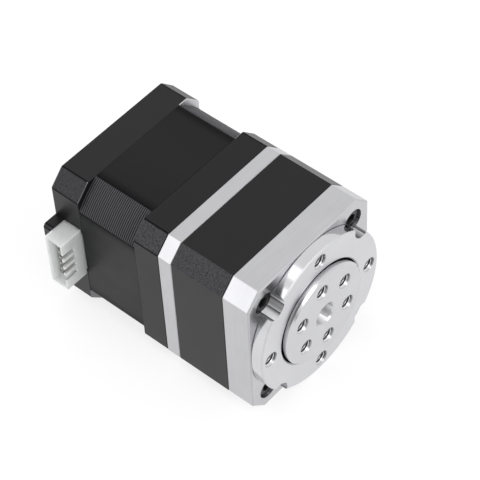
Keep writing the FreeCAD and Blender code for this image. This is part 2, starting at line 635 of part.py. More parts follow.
def make_output_bearing():
    """Crossed roller bearing: two rings with a square race set on its corner, and the rollers."""
    front, back, middle = "Places.bearing_front", "Places.bearing_back", "Places.roller_depth"
    reach, half = "Places.groove_reach", "Places.groove_half_gap"
    outer = "Dims.bearing_radius - Dims.seat_play"
    turn(new_body("output_bearing_outer"), [
        ("Places.outer_ring_in", front), (outer, front), (outer, back), ("Places.outer_ring_in", back),
        ("Places.outer_ring_in", f"{middle} + {half}"), (f"Dims.roller_circle + {reach}", middle),
        ("Places.outer_ring_in", f"{middle} - {half}"),
    ])
    inner = "Dims.hub_radius + Dims.seat_play"
    turn(new_body("output_bearing_inner"), [
        (inner, front), ("Places.inner_ring_out", front), ("Places.inner_ring_out", f"{middle} - {half}"),
        (f"Dims.roller_circle - {reach}", middle), ("Places.inner_ring_out", f"{middle} + {half}"),
        ("Places.inner_ring_out", back), (inner, back),
    ])
    body = new_body("output_bearing_rollers")
    for k in range(int(number("Dims.roller_count"))):
        tilt = 45 if k % 2 == 0 else -45
        step = f"{k} * 360 / Dims.roller_count"
        half_run = f"Dims.roller_length / 2 * sin({tilt})"
        x, y = turned(f"Dims.roller_circle - {half_run}", "0", step)
        roller = solid_at(body, "AdditiveCylinder", x, y, f"{middle} - Dims.roller_length / 2 * cos({tilt})",
                          Radius="Dims.roller_radius", Height="Dims.roller_length")
        way = FreeCAD.Rotation(FreeCAD.Vector(0, 0, 1), number(step))
        lean = FreeCAD.Rotation(FreeCAD.Vector(0, 1, 0), tilt)
        roller.AttachmentOffset = FreeCAD.Placement(roller.AttachmentOffset.Base, way.multiply(lean))


def make_output_seal():
    """Lip seal behind the disc, held in the ring and running on the flange's shoulder."""
    lip = "Dims.shoulder_radius + Dims.running_play"
    case = "Dims.ring_bore - Dims.seat_play"
    front, back = "Dims.disc_depth + Dims.running_play", "Places.bearing_front - Dims.running_play"
    middle = f"({front} + {back}) / 2"
    turn(new_body("output_seal"), [
        (f"{lip} + Dims.edge_break", front), (case, front), (case, back), (f"{lip} + Dims.edge_break", back),
        (lip, middle),
    ])


def make_output_flange():
    """Output flange: a disc with tapped holes and a pilot bore, and a hub through the bearing."""
    body = new_body("output_flange")
    disc, pilot, edge = "Dims.disc_radius", "Dims.pilot_radius", "Dims.edge_break"
    front, floor = "Places.disc_front", "Places.disc_front + Dims.pilot_depth"
    turn(body, [
        (pilot, f"{front} + {edge}"), (f"{pilot} + {edge}", front), (f"{disc} - Dims.disc_chamfer", front),
        (disc, f"{front} + Dims.disc_chamfer"), (disc, "Dims.disc_depth"),
        ("Dims.shoulder_radius", "Dims.disc_depth"), ("Dims.shoulder_radius", "Places.bearing_front"),
        ("Dims.hub_radius", "Places.bearing_front"), ("Dims.hub_radius", "Places.bearing_back"),
        ("0", "Places.bearing_back"), ("0", floor), (pilot, floor),
    ])
    tapped_holes(body, FLANGE_HOLE, "Dims.flange_hole_count", front, "Dims.flange_hole_depth")
    drilled(body, CLAMP_SCREW, "Dims.clamp_screw_count", "Places.bearing_back - Dims.clamp_screw_reach",
            "Dims.clamp_screw_reach", "Dims.clamp_screw_radius + Dims.seat_play")


def make_flange_clamp():
    """Retainer of the bearing's inner ring, and the ring and screws that clamp the flexspline to the hub."""
    screw_hole = "Dims.clamp_screw_radius + Dims.screw_play"
    for label, radius, front, back in (
        ("bearing_retainer", "Dims.retainer_radius", "Places.bearing_back", "Places.retainer_back"),
        ("clamp_ring", "Dims.clamp_radius", "Places.boss_back", "Places.clamp_back"),
    ):
        body = new_body(label)
        turn(body, [("Dims.clamp_bore", front), (radius, front), (radius, back), ("Dims.clamp_bore", back)])
        drilled(body, CLAMP_SCREW, "Dims.clamp_screw_count", front, f"{back} - {front}", screw_hole)
    screws("clamp_screws", CLAMP_SCREW, "Dims.clamp_screw_count", "Places.clamp_head_back",
           "Places.clamp_back", "Places.bearing_back - Dims.clamp_screw_reach", "Dims.clamp_screw_head",
           "Dims.clamp_screw_radius", "Dims.small_socket", "Dims.clamp_head_height / 2")


def make_gear_housing():
    """Square housing with room for the flexspline's cup and a seat for the circular spline."""
    body = square_block("gear_housing", "Places.plate_back", "Dims.housing_length")
    round_cut(body, "Dims.cup_room", "Places.plate_back", "Dims.housing_length")
    round_cut(body, "Dims.spline_radius + Dims.seat_play", "Places.spline_front", "Dims.spline_width")
    corner_holes(body, "Places.plate_back", "Dims.housing_length", "Places.screw_hole")
    drilled(body, DOWEL, 2, "Places.spline_front - Dims.dowel_depth", "Dims.dowel_depth",
            "Dims.dowel_radius + Dims.seat_play")


def make_circular_spline():
    """Rigid ring with internal teeth, two more than the flexspline has, and the dowels that lock it."""
    body = new_body("circular_spline")
    front, back = "Places.spline_front", "Places.housing_back"
    outside, tip = "Dims.spline_radius", "Places.space_tip"
    turn(body, [(tip, front), (outside, front), (outside, back), (tip, back)])
    inside, root = f"{tip} - Dims.tooth_gap", "Places.space_root"
    wide, narrow = "Places.space_half_tip", "Places.space_half_root"
    space = draw_outline(new_sketch(body, offset=front), [
        (inside, f"-{wide}"), (tip, f"-{wide}"), (root, f"-{narrow}"),
        (root, narrow), (tip, wide), (inside, wide),
    ])
    repeat(body, [cut(body, space, "Dims.spline_width")], "Dims.spline_teeth")
    drilled(body, DOWEL, 2, front, "Dims.dowel_length - Dims.dowel_depth",
            "Dims.dowel_radius + Dims.seat_play")
    pins = new_body("spline_dowels")
    sketch = new_sketch(pins, offset=f"{front} - Dims.dowel_depth")
    repeat(pins, [pad(pins, draw_circle(sketch, *DOWEL, "Dims.dowel_radius"), "Dims.dowel_length")], 2)


def flex_point(angle, along, above):
    """Return a point beside the flexspline's bent wall.

    The wall's middle line has radius R. The wave lifts it by w = L cos 2a and, because it doesn't stretch,
    shifts it along by v = -(L / 2) sin 2a. Its tangent then points along R round and w' - v outwards.
    """
    lift = number("Dims.wave_lift")
    middle = number("Dims.flex_bore + Dims.flex_wall / 2")
    outward = FreeCAD.Vector(math.cos(angle), math.sin(angle), 0)
    onward = FreeCAD.Vector(-math.sin(angle), math.cos(angle), 0)
    shift = -lift / 2 * math.sin(2 * angle)
    slope = -2 * lift * math.sin(2 * angle) - shift
    tangent = (onward * middle + outward * slope).normalize()
    normal = FreeCAD.Vector(tangent.y, -tangent.x, 0)
    base = outward * (middle + lift * math.cos(2 * angle)) + onward * shift
    return base + tangent * along + normal * above


def oval_wire(radius, lift, depth):
    """Return a closed oval wire at a depth."""
    wire = Part.Wire(Part.Ellipse(FreeCAD.Vector(), radius + lift, radius - lift).toShape())
    wire.translate(FreeCAD.Vector(0, 0, depth))
    return wire


def make_flexspline():
    """Thin cup: a toothed mouth bent oval by the wave generator, running out to a round boss."""
    bore, outside = number("Dims.flex_bore"), number("Places.flex_out")
    lift, wall = number("Dims.wave_lift"), number("Dims.flex_wall")
    tooth_front, mouth = number("Places.tooth_front"), number("Places.flex_back")
    web_front, boss_back = number("Places.retainer_back"), number("Places.boss_back")
    web_back = web_front + number("Dims.web_thick")
    knee = web_front + number("Dims.knee_height")
    hole, clamp = number("Dims.clamp_bore"), number("Dims.clamp_radius")
    teeth = int(number("Dims.flex_teeth"))
    foot, height = number("Dims.tooth_root") / 2, number("Dims.tooth_height")
    crest = foot - height * math.tan(math.radians(number("Dims.tooth_flank")))
    profile = ((-foot, 0), (-crest, height), (crest, height), (foot, 0))
    rim = [flex_point(2 * math.pi * k / teeth, a, b + wall / 2) for k in range(teeth) for a, b in profile]
    rim_wire = Part.makePolygon(rim + rim[:1])
    rim_wire.translate(FreeCAD.Vector(0, 0, tooth_front))
    band = Part.Face(rim_wire).cut(Part.Face(oval_wire(bore, lift, tooth_front)))
    band = band.extrude(FreeCAD.Vector(0, 0, mouth - tooth_front))
    skin, core = (
        Part.makeLoft([oval_wire(radius, 0, knee), oval_wire(radius, lift, tooth_front)], True, True)
        for radius in (outside, bore)
    )
    corners = [
        (hole, web_front), (outside, web_front), (outside, knee), (bore, knee), (bore, web_back),
        (clamp, web_back), (clamp, boss_back), (hole, boss_back),
    ]
    section = Part.makePolygon([FreeCAD.Vector(r, 0, z) for r, z in corners + corners[:1]])
    foot_ring = Part.Face(section).revolve(FreeCAD.Vector(), FreeCAD.Vector(0, 0, 1), 360)
    shape = foot_ring.fuse([skin.cut(core), band])
    x, y = (number(value) for value in CLAMP_SCREW)
    count = int(number("Dims.clamp_screw_count"))
    drill = number("Dims.clamp_screw_radius + Dims.screw_play")
    for k in range(count):
        pin = Part.makeCylinder(drill, boss_back - web_front, FreeCAD.Vector(x, y, web_front))
        pin.rotate(FreeCAD.Vector(), FreeCAD.Vector(0, 0, 1), 360 * k / count)
        shape = shape.cut(pin)
    piece = doc.addObject("Part::Feature", "flexspline")
    piece.Label = "flexspline"
    piece.Shape = shape.removeSplitter()
    piece.Placement = LAY_DOWN
    PIECES.append(piece)


def make_wave_generator():
    """Oval cam on the motor shaft with its set screws, inside a thin ball bearing that bends with it."""
    body = new_body("wave_generator")
    pad(body, oval(new_sketch(body, offset="Places.cam_front"), "Places.cam_radius"), "Dims.cam_width")
    pad(body, draw_circle(new_sketch(body, offset="Places.hub_front"), "0", "0", "Dims.cam_hub"),
        "Dims.cam_hub_length")
    round_cut(body, "Dims.shaft_radius + Dims.seat_play", "Places.hub_front",
              "Dims.cam_hub_length + Dims.cam_width")
    screw_depth = "(Places.hub_front + Places.cam_front) / 2"
    sketch = new_sketch(body, "YZ_Plane")
    draw_circle(sketch, "0", screw_depth, "Dims.set_screw_radius + Dims.seat_play")
    repeat(body, [cut(body, sketch, "Dims.cam_hub")], 2)
    pins = new_body("set_screws")
    sketch = new_sketch(pins, "YZ_Plane", "Dims.shaft_radius + Dims.seat_play")
    draw_circle(sketch, "0", screw_depth, "Dims.set_screw_radius")
    length = "Dims.cam_hub - Dims.shaft_radius - Dims.edge_break"
    repeat(pins, [pad(pins, sketch, length)], 2)
    for label, outer, inner in (
        ("flex_bearing_outer", "Places.flex_race_out", "Places.flex_race_out - Dims.race_wall"),
        ("flex_bearing_inner", "Places.flex_race_in + Dims.race_wall", "Places.flex_race_in"),
    ):
        ring = new_body(label)
        sketch = new_sketch(ring, offset="Places.flex_race_front")
        oval(sketch, outer)
        oval(sketch, inner)
        pad(ring, sketch, "Dims.flex_bearing_width")
    balls = new_body("flex_bearing_balls")
    count = int(number("Dims.flex_ball_count"))
    for k in range(count):
        x = f"(Places.flex_race_mid + Dims.wave_lift) * cos({k} * 360 / Dims.flex_ball_count)"
        y = f"(Places.flex_race_mid - Dims.wave_lift) * sin({k} * 360 / Dims.flex_ball_count)"
        solid_at(balls, "AdditiveSphere", x, y, "Places.flex_race_front + Dims.flex_bearing_width / 2",
                 Radius="Dims.flex_ball")


def make_adapter():
    """Square plate that centres the motor's register, with the seal that keeps the grease in the gear."""
    body = square_block("adapter_plate", "Places.housing_back", "Dims.adapter_thick")
    round_cut(body, "Dims.seal_radius", "Places.housing_back", "Dims.adapter_thick")
    round_cut(body, "Dims.register_radius + Dims.seat_play", "Places.register_seat",
              "Places.adapter_back - Places.register_seat")
    corner_holes(body, "Places.housing_back", "Dims.adapter_thick", "Places.screw_hole")
    case, lip = "Dims.seal_radius - Dims.seat_play", "Dims.shaft_radius + Dims.running_play"
    front, back = "Places.register_seat - Dims.seal_width", "Places.register_seat"
    turn(new_body("shaft_seal"), [
        (f"{lip} + Dims.edge_break", front), (case, front), (case, back), (f"{lip} + Dims.edge_break", back),
        (lip, f"{back} - Dims.seal_width / 2"),
    ])


def make_front_cap():
    """Motor front cap: a square casting with the register, the bearing's seat and room for the windings."""
    body = square_block("motor_front_cap", "Places.adapter_back", "Dims.front_cap_length", "Dims.cap_round")
    register = new_sketch(body, offset="Places.register_front")
    pad(body, draw_circle(register, "0", "0", "Dims.register_radius"), "Dims.register_height")
    round_cut(body, "Dims.shaft_room", "Places.register_front", "Dims.race_cover")
    round_cut(body, "Dims.race_radius + Dims.seat_play", "Places.front_race_front",
              "Places.front_cap_back - Places.front_race_front")
    round_cut(body, "Dims.winding_room", "Places.front_race_back",
              "Places.front_cap_back - Places.front_race_back")
    sketch = new_sketch(body, offset="Places.front_cap_back - Dims.winding_depth")
    draw_circle(sketch, "0", "0", "Dims.winding_room")
    draw_circle(sketch, "0", "0", "Dims.race_radius + Dims.seat_wall")
    cut(body, sketch, "Dims.winding_depth")
    corner_holes(body, "Places.adapter_back", "Dims.front_cap_length", "Places.screw_thread")


def make_rear_cap():
    """Motor rear cap: the bearing's seat, room for windings and board, and a shelf behind the connector."""
    body = square_block("motor_rear_cap", "Places.stack_back", "Dims.rear_cap_length", "Dims.cap_round")
    side, tall = "-Places.half_width", "Dims.header_height / 2"
    shelf = rectangle(f"{side} - Dims.shelf_proud", f"{side} + Dims.corner_chamfer", f"-{tall}", tall)
    pad(body, draw_outline(new_sketch(body, offset="Places.header_back"), shelf),
        "Places.rear_cap_back - Places.header_back")
    doc.recompute()
    outer = number(f"{side} - Dims.shelf_proud")
    base = body.Tip
    names = [
        f"Edge{i}" for i, edge in enumerate(base.Shape.Edges, start=1)
        if all(abs(v.X - outer) < 1e-6 for v in edge.Vertexes)
        and abs(edge.Vertexes[0].Y - edge.Vertexes[-1].Y) < 1e-6
    ]
    fillet = body.newObject("PartDesign::Fillet", "shelf_corners")
    fillet.Base = (base, names)
    fillet.setExpression("Radius", "Dims.shelf_round")
    round_cut(body, "Dims.winding_room", "Places.stack_back", "Places.rear_race_front - Places.stack_back")
    sketch = new_sketch(body, offset="Places.stack_back")
    draw_circle(sketch, "0", "0", "Dims.winding_room")
    draw_circle(sketch, "0", "0", "Dims.race_radius + Dims.seat_wall")
    cut(body, sketch, "Dims.board_room")
    round_cut(body, "Dims.race_radius + Dims.seat_play", "Places.stack_back",
              "Places.washer_back - Places.stack_back")
    neck = "(Dims.header_neck / 2 + Dims.seat_play)"
    window = rectangle(f"-{neck}", neck, "Places.stack_back", "Places.header_back")
    cut(body, draw_outline(new_sketch(body, "YZ_Plane", side), window),
        f"Places.half_width - sqrt(Dims.winding_room^2 - {neck}^2)")
    round_cut(body, "Dims.back_recess", "Places.rear_cap_back - Dims.back_recess_depth",
              "Dims.back_recess_depth")
    corner_holes(body, "Places.stack_back", "Dims.rear_cap_length", "Places.screw_hole")
    corner_holes(body, "Places.tie_head_front", "Places.rear_cap_back - Places.tie_head_front",
                 "Dims.tie_head_radius + Dims.head_play")
    screws("tie_screws", CORNER, 4, "Places.rear_cap_back - Dims.tie_head_recess", "Places.tie_head_front",
           "Places.front_cap_back - Dims.tie_screw_reach", "Dims.tie_head_radius", "Dims.screw_radius",
           "Dims.socket_flats", "Dims.tie_head_height / 2")


def make_motor_bearing(name, front):
    """Deep groove ball bearing: two rings with a round race and the balls between them."""
    back = f"{front} + Dims.race_width"
    middle = f"{front} + Dims.race_width / 2"
    for part, plain, raced in (
        ("outer", "Dims.race_radius", "Dims.outer_race"),
        ("inner", "Dims.shaft_radius + Dims.seat_play", "Dims.inner_race"),
    ):
        ring = new_body(f"{name}_bearing_{part}")
        revolve(ring, draw_race(new_sketch(ring, "XZ_Plane"), plain, raced, front, back))
    balls = new_body(f"{name}_bearing_balls")
    ball = solid_at(balls, "AdditiveSphere", "Places.ball_circle", "0", middle, Radius="Dims.ball_radius")
    repeat(balls, [ball], "Dims.ball_count")


def make_wave_washer():
    """Spring washer that loads the rear bearing's outer ring."""
    inner, outer = "Dims.outer_race", "Dims.race_radius"
    turn(new_body("wave_washer"), [
        (inner, "Places.rear_race_back"), (outer, "Places.rear_race_back"),
        (outer, "Places.washer_back"), (inner, "Places.washer_back"),
    ])


def make_stator():
    """Laminated stack with eight toothed poles."""
    body = new_body("stator_stack")
    front = "Places.front_cap_back"
    sketch = new_sketch(body, offset=front)
    pad(body, draw_rounded_square(sketch, "Places.half_width - Dims.stack_inset", "Dims.stack_round"),
        "Dims.stack_length")
    round_cut(body, "Dims.stator_bore", front, "Dims.stack_length")
    flank, step = "Dims.pole_width / 2", "180 / Dims.pole_count"
    shoe, floor, bore = "Places.shoe_back", "Dims.slot_radius", "Dims.stator_bore"
    low = [turned(f"sqrt({r}^2 - ({flank})^2)", flank, f"-{step}") for r in (shoe, floor)]
    high = [turned(f"sqrt({r}^2 - ({flank})^2)", f"-{flank}", step) for r in (floor, shoe)]
    mouth, inside = "Dims.slot_mouth / 2", f"{bore} - Dims.gap_depth"
    slot = draw_outline(new_sketch(body, offset=front), low + [(floor, "0")] + high + [
        (shoe, mouth), (inside, mouth), (inside, f"-{mouth}"), (shoe, f"-{mouth}"),
    ])
    repeat(body, [cut(body, slot, "Dims.stack_length")], "Dims.pole_count")
    gaps = new_sketch(body, offset=front)
    for k in range(int(number("Dims.pole_teeth")) - 1):
        angle = f"({step} + ({k} - (Dims.pole_teeth - 2) / 2) * 360 / Dims.rotor_teeth)"
        corners = rectangle(inside, f"{bore} + Dims.gap_depth", "-Dims.gap_width / 2", "Dims.gap_width / 2")
        draw_outline(gaps, [turned(x, y, angle) for x, y in corners])
    repeat(body, [cut(body, gaps, "Dims.stack_length")], "Dims.pole_count")
    corner_holes(body, front, "Dims.stack_length", "Places.screw_hole")


def make_bobbin(label, face, away):
    """Moulded insulator on one end of the stack: a rim, and a saddle with legs and a lip on every pole."""
    body = new_body(label)
    wall, rim = "Dims.bobbin_wall", "Dims.bobbin_rim"
    outside = "(Dims.winding_room - Dims.coil_play)"
    near, far = (face, f"{face} {away} {rim}")
    turn(body, [
        (f"{outside} - {wall}", near), (outside, near), (outside, far), (f"{outside} - {wall}", far),
    ])
    step = "180 / Dims.pole_count"
    half = f"(Dims.pole_width / 2 + {wall})"
    features = []
    into = "-" if away == "+" else "+"
    leg_end = f"({face} {into} (Dims.stack_length / 2 - Dims.coil_play))"
    lip = f"(Places.shoe_back - {wall})"
    inner = "(Places.shoe_back + Dims.coil_play)"
    blocks = (
        (lip, f"{outside} - {wall}", f"-{half}", half, face, f"({face} {away} {wall})"),
        (f"{lip} - {wall}", lip, "-Dims.lip_width / 2", "Dims.lip_width / 2", face, f"({far})"),
        (inner, f"{outside} - {wall}", "Dims.pole_width / 2", half, face, leg_end),
        (inner, f"{outside} - {wall}", f"-{half}", "-Dims.pole_width / 2", face, leg_end),
    )
    for left, right, low, high, one, other in blocks:
        front, length = between(one, other)
        corners = [turned(x, y, step) for x, y in rectangle(left, right, low, high)]
        features.append(pad(body, draw_outline(new_sketch(body, offset=front), corners), length))
    repeat(body, features, "Dims.pole_count")


def make_windings():
    """One coil round the neck of every pole."""
    body = new_body("windings")
    step = "180 / Dims.pole_count"
    inner = "(Dims.pole_width / 2 + Dims.bobbin_wall + Dims.coil_play)"
    outer = f"({inner} + Dims.coil_build)"
    left = "Places.shoe_back + 2 * Dims.coil_play"
    rim = "(Dims.winding_room - Dims.bobbin_wall - 2 * Dims.coil_play)"
    right = f"sqrt({rim}^2 - {outer}^2)"
    wall = "(Dims.bobbin_wall + Dims.coil_play)"
    front, back = f"(Places.front_cap_back - {wall})", f"(Places.stack_back + {wall})"
    build = "Dims.coil_build"
    blocks = (
        (f"-{outer}", f"-{inner}", f"{front} - {build}", f"{back} + {build}"),
        (inner, outer, f"{front} - {build}", f"{back} + {build}"),
        (f"-{outer}", outer, f"{front} - {build}", front),
        (f"-{outer}", outer, back, f"{back} + {build}"),
    )
    features = []
    for low, high, one, other in blocks:
        corners = [turned(x, y, step) for x, y in rectangle(left, right, low, high)]
        features.append(pad(body, draw_outline(new_sketch(body, offset=one), corners), f"{other} - ({one})"))
    repeat(body, features, "Dims.pole_count")


def make_rotor():
    """Shaft with two toothed cores, half a tooth apart, and the magnet between them."""
    seat = "Dims.shaft_shoulder + Dims.seat_play"
    pitch = "360 / Dims.rotor_teeth"
    for label, front, offset in (
        ("rotor_core_front", "Places.rotor_front", "0"),
        ("rotor_core_rear", "Places.magnet_back", f"{pitch} / 2"),
    ):
        body = new_body(label)
        back = f"{front} + Dims.core_length"
        turn(body, [(seat, front), ("Dims.rotor_radius", front), ("Dims.rotor_radius", back), (seat, back)])
        corners = rectangle("Dims.rotor_radius - Dims.gap_depth", "Dims.rotor_radius + Dims.gap_depth",
                            "-Dims.gap_width / 2", "Dims.gap_width / 2")
        gap = draw_outline(new_sketch(body, offset=front), [turned(x, y, offset) for x, y in corners])
        repeat(body, [cut(body, gap, "Dims.core_length")], "Dims.rotor_teeth")
    turn(new_body("rotor_magnet"), [
        (seat, "Places.magnet_front"), ("Dims.magnet_radius", "Places.magnet_front"),
        ("Dims.magnet_radius", "Places.magnet_back"), (seat, "Places.magnet_back"),
    ])
    shaft, shoulder, edge = "Dims.shaft_radius", "Dims.shaft_shoulder", "Dims.edge_break"
    end = "Places.rear_race_back"
    turn(new_body("motor_shaft"), [
        ("0", "Places.shaft_front"), (f"{shaft} - {edge}", "Places.shaft_front"),
        (shaft, f"Places.shaft_front + {edge}"), (shaft, "Places.front_race_back"),
        (shoulder, "Places.front_race_back"), (shoulder, "Places.rear_race_front"),
        (shaft, "Places.rear_race_front"), (shaft, f"{end} - {edge}"), (f"{shaft} - {edge}", end),
        ("0", end),
    ])


def make_connector():
    """Shrouded header on the frame's side, its contacts, and the board that joins them to the windings."""
    body = new_body("connector_header")
    side, face, wall = "-Places.half_width", "Places.header_face", "Dims.header_wall"
    tall, neck = "Dims.header_height / 2", "Dims.header_neck / 2"
    front, back = "Places.header_front", "Places.header_back"
    pad(body, draw_outline(new_sketch(body, "YZ_Plane", face), rectangle(f"-{tall}", tall, front, back)),
        "Dims.header_proud")
    pad(body, draw_outline(new_sketch(body, "YZ_Plane", side), rectangle(f"-{neck}", neck, front, back)),
        "Places.half_width - Dims.winding_room - Dims.running_play")
    mouth = rectangle(f"-{tall} + {wall}", f"{tall} - {wall}", f"{front} + {wall}", f"{back} - {wall}")
    cut(body, draw_outline(new_sketch(body, "YZ_Plane", face), mouth), "Dims.header_mouth")
    ways = new_sketch(body, offset=front)
    for k in range(int(number("Dims.keyway_count"))):
        middle = f"({k} - (Dims.keyway_count - 1) / 2) * Dims.keyway_pitch"
        low, high = f"{middle} - Dims.keyway_width / 2", f"{middle} + Dims.keyway_width / 2"
        draw_outline(ways, rectangle(face, f"{face} + Dims.keyway_depth", low, high))
    cut(body, ways, wall)
    holes = new_sketch(body, "YZ_Plane", face)
    contacts = new_body("connector_contacts")
    pins = new_sketch(contacts, "YZ_Plane", f"{face} + Dims.contact_recess")
    legs = new_sketch(contacts, offset="Places.header_middle - Dims.contact_side / 2")
    half = "Dims.contact_side / 2"
    room = f"({half} + Dims.seat_play)"
    depth = "Places.header_middle"
    for k in range(int(number("Dims.contact_count"))):
        middle = f"({k} - (Dims.contact_count - 1) / 2) * Dims.contact_pitch"
        draw_outline(holes, rectangle(f"{middle} - {room}", f"{middle} + {room}", f"{depth} - {room}",
                                      f"{depth} + {room}"))
        draw_outline(pins, rectangle(f"{middle} - {half}", f"{middle} + {half}", f"{depth} - {half}",
                                     f"{depth} + {half}"))
        draw_outline(legs, rectangle("Places.contact_inner - Dims.contact_side", "Places.contact_inner",
                                     f"{middle} - {half}", f"{middle} + {half}"))
    cut(body, holes, "Dims.header_proud + Places.half_width - Dims.winding_room")
    pad(contacts, pins, f"Places.contact_inner - {face} - Dims.contact_recess")
    pad(contacts, legs, f"Places.board_back - Dims.board_thick - {depth} + {half}")
    inner = "Dims.race_radius + Dims.seat_wall + Dims.seat_play"
    board_front = "Places.board_back - Dims.board_thick"
    turn(new_body("connection_board"), [
        (inner, board_front), ("Dims.board_radius", board_front), ("Dims.board_radius", "Places.board_back"),
        (inner, "Places.board_back"),
    ])


def check_model():
    """Stop if a feature failed, a piece isn't sound, or a cut or pattern changed nothing."""
    for item in doc.Objects:
        if {"Invalid", "Error"} & set(item.State):
            raise RuntimeError(f"{item.Label} failed: {item.State}")
        base = getattr(item, "BaseFeature", None)
        if base is not None and abs(item.Shape.Volume - base.Shape.Volume) < 1e-6:
            raise RuntimeError(f"{item.Label} changes nothing")
    for piece in PIECES:
        if piece.Shape.isNull() or not piece.Shape.isValid() or not piece.Shape.Solids:
            raise RuntimeError(f"{piece.Label} is not a sound solid")


make_front_ring()
make_front_plate()
make_front_screws()
make_output_bearing()
make_output_seal()
make_output_flange()
make_flange_clamp()
make_gear_housing()
make_circular_spline()
make_flexspline()
make_wave_generator()
make_adapter()
make_front_cap()
make_rear_cap()
make_motor_bearing("front", "Places.front_race_front")
make_motor_bearing("rear", "Places.rear_race_front")
make_wave_washer()
make_stator()
make_bobbin("front_bobbin", "Places.front_cap_back", "-")
make_bobbin("rear_bobbin", "Places.stack_back", "+")
make_windings()
make_rotor()
make_connector()
doc.recompute()
check_model()

os.makedirs("parts", exist_ok=True)
for piece in PIECES:
    piece.Shape.exportStep(f"parts/{piece.Label}.step")
    print(piece.Label, len(piece.Shape.Solids), "solids,", round(piece.Shape.Volume, 2), "mm3")
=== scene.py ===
"""Dressed model of a square-framed stepper motor with a strain wave gear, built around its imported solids."""

import json
import logging
import math
from dataclasses import dataclass, field
from enum import Enum
from functools import cached_property

import bmesh
import bpy
import numpy as np
from mathutils import Matrix, Vector


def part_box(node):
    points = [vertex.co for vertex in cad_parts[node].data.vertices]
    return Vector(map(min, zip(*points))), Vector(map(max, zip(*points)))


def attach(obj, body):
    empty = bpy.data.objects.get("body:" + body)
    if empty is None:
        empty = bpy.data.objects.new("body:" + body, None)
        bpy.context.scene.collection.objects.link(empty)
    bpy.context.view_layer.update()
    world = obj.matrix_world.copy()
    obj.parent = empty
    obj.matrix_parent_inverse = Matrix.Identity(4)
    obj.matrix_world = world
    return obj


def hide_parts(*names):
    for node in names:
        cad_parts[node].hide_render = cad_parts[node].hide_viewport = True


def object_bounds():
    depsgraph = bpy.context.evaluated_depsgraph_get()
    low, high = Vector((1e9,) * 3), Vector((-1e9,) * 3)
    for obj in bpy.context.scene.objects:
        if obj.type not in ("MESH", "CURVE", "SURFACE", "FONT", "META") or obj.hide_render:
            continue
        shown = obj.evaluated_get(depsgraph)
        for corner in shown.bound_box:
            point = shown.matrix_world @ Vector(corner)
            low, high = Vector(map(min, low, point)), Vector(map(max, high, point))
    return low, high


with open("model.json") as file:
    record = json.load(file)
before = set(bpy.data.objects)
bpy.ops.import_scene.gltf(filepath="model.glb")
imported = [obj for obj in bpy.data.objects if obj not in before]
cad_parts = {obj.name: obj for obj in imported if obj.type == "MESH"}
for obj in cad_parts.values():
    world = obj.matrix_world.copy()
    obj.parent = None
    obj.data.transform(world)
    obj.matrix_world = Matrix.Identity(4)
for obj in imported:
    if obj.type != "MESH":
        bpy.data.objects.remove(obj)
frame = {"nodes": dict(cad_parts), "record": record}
CAD_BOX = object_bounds()

LOG = logging.getLogger("geared_stepper")
MM = 0.001
TURN = 2 * math.pi
# Points nearer than this, in metres, are one.
MERGE = 1e-7
# Half the spacing of the corner screws on this standard frame.
CORNER_MM = 15.5
WHITE = (1, 1, 1, 1)
# What these keep of a vector lies across the motor's axis, which runs along y, or level.
ACROSS = (1, 0, 1)
LEVEL = (1, 1, 0)
# The middle of a noise's range, which holds nearly all of its values.
MIDDLE = (0.3, 0.7)
# Marks times patches, over which a finish goes from its shade to its colour.
SHADE_TO_COLOUR = (0.1, 0.45)
# |x z| of a surface's direction, over which it becomes a corner chamfer.
SIDE_TO_CHAMFER = (0.36, 0.46)
# |x z| of the direction on a round edge between side and chamfer, and how far off it the edge ends.
ROUND_EDGE = 0.25
OFF_EDGE = (0.12, 0.24)
# |y| of a surface's direction: lower on a wall, higher on a face, between them on a rounded edge.
WALL_TO_FACE = (0.3, 0.9)
# |y| under which a drilled surface is the hole's wall, and |z| over which a moulded wall is level.
HOLE_WALL = 0.4
LEVEL_WALL = 0.5
# x times z in square metres at which corners with one sign are told from the others.
FOLD = 1e-6
# Crest attribute over which a thread goes from its roots' painted shade to its crests.
ROOT_TO_CREST = (0.3, 0.9)


def linear(colour: str) -> tuple[float, float, float, float]:
    """Turn an sRGB hex value into linear light, by the standard's own curve.

    Args:
        colour: "#RRGGBB".

    Returns:
        Linear red, green, blue and an alpha of one.
    """
    levels = np.array([int(colour[i:i + 2], 16) for i in (1, 3, 5)]) / 255
    light = np.where(levels <= 0.04045, levels / 12.92, ((levels + 0.055) / 1.055) ** 2.4)
    return (*light.tolist(), 1.0)


class Graph:
    """A node tree in the making.

    Attributes:
        tree: the tree of a material or of the world.
    """

    def __init__(self, tree: bpy.types.NodeTree) -> None:
        """Take the tree."""
        self.tree = tree

    def link(self, value: object, socket: bpy.types.NodeSocket) -> None:
        """Feed one socket.

        Args:
            value: a constant, a socket, or a node, which stands for its first output in use.
            socket: the socket that gets it.
        """
        if isinstance(value, bpy.types.Node):
            value = next(output for output in value.outputs if output.enabled)
        if isinstance(value, bpy.types.NodeSocket):
            self.tree.links.new(value, socket)
        else:
            socket.default_value = value

    def add(self, kind: str, *feeds: object, **settings: object) -> bpy.types.Node:
        """Add a shader node with its settings and links.

        Args:
            kind: the node's type without its ShaderNode prefix.
            feeds: what feeds the inputs that these settings leave in use, in the node's own order.
            settings: properties of the node itself.

        Returns:
            The new node.
        """
        node = self.tree.nodes.new("ShaderNode" + kind)
        for name, value in settings.items():
            setattr(node, name, value)
        for value, socket in zip(feeds, [each for each in node.inputs if each.enabled]):
            self.link(value, socket)
        return node


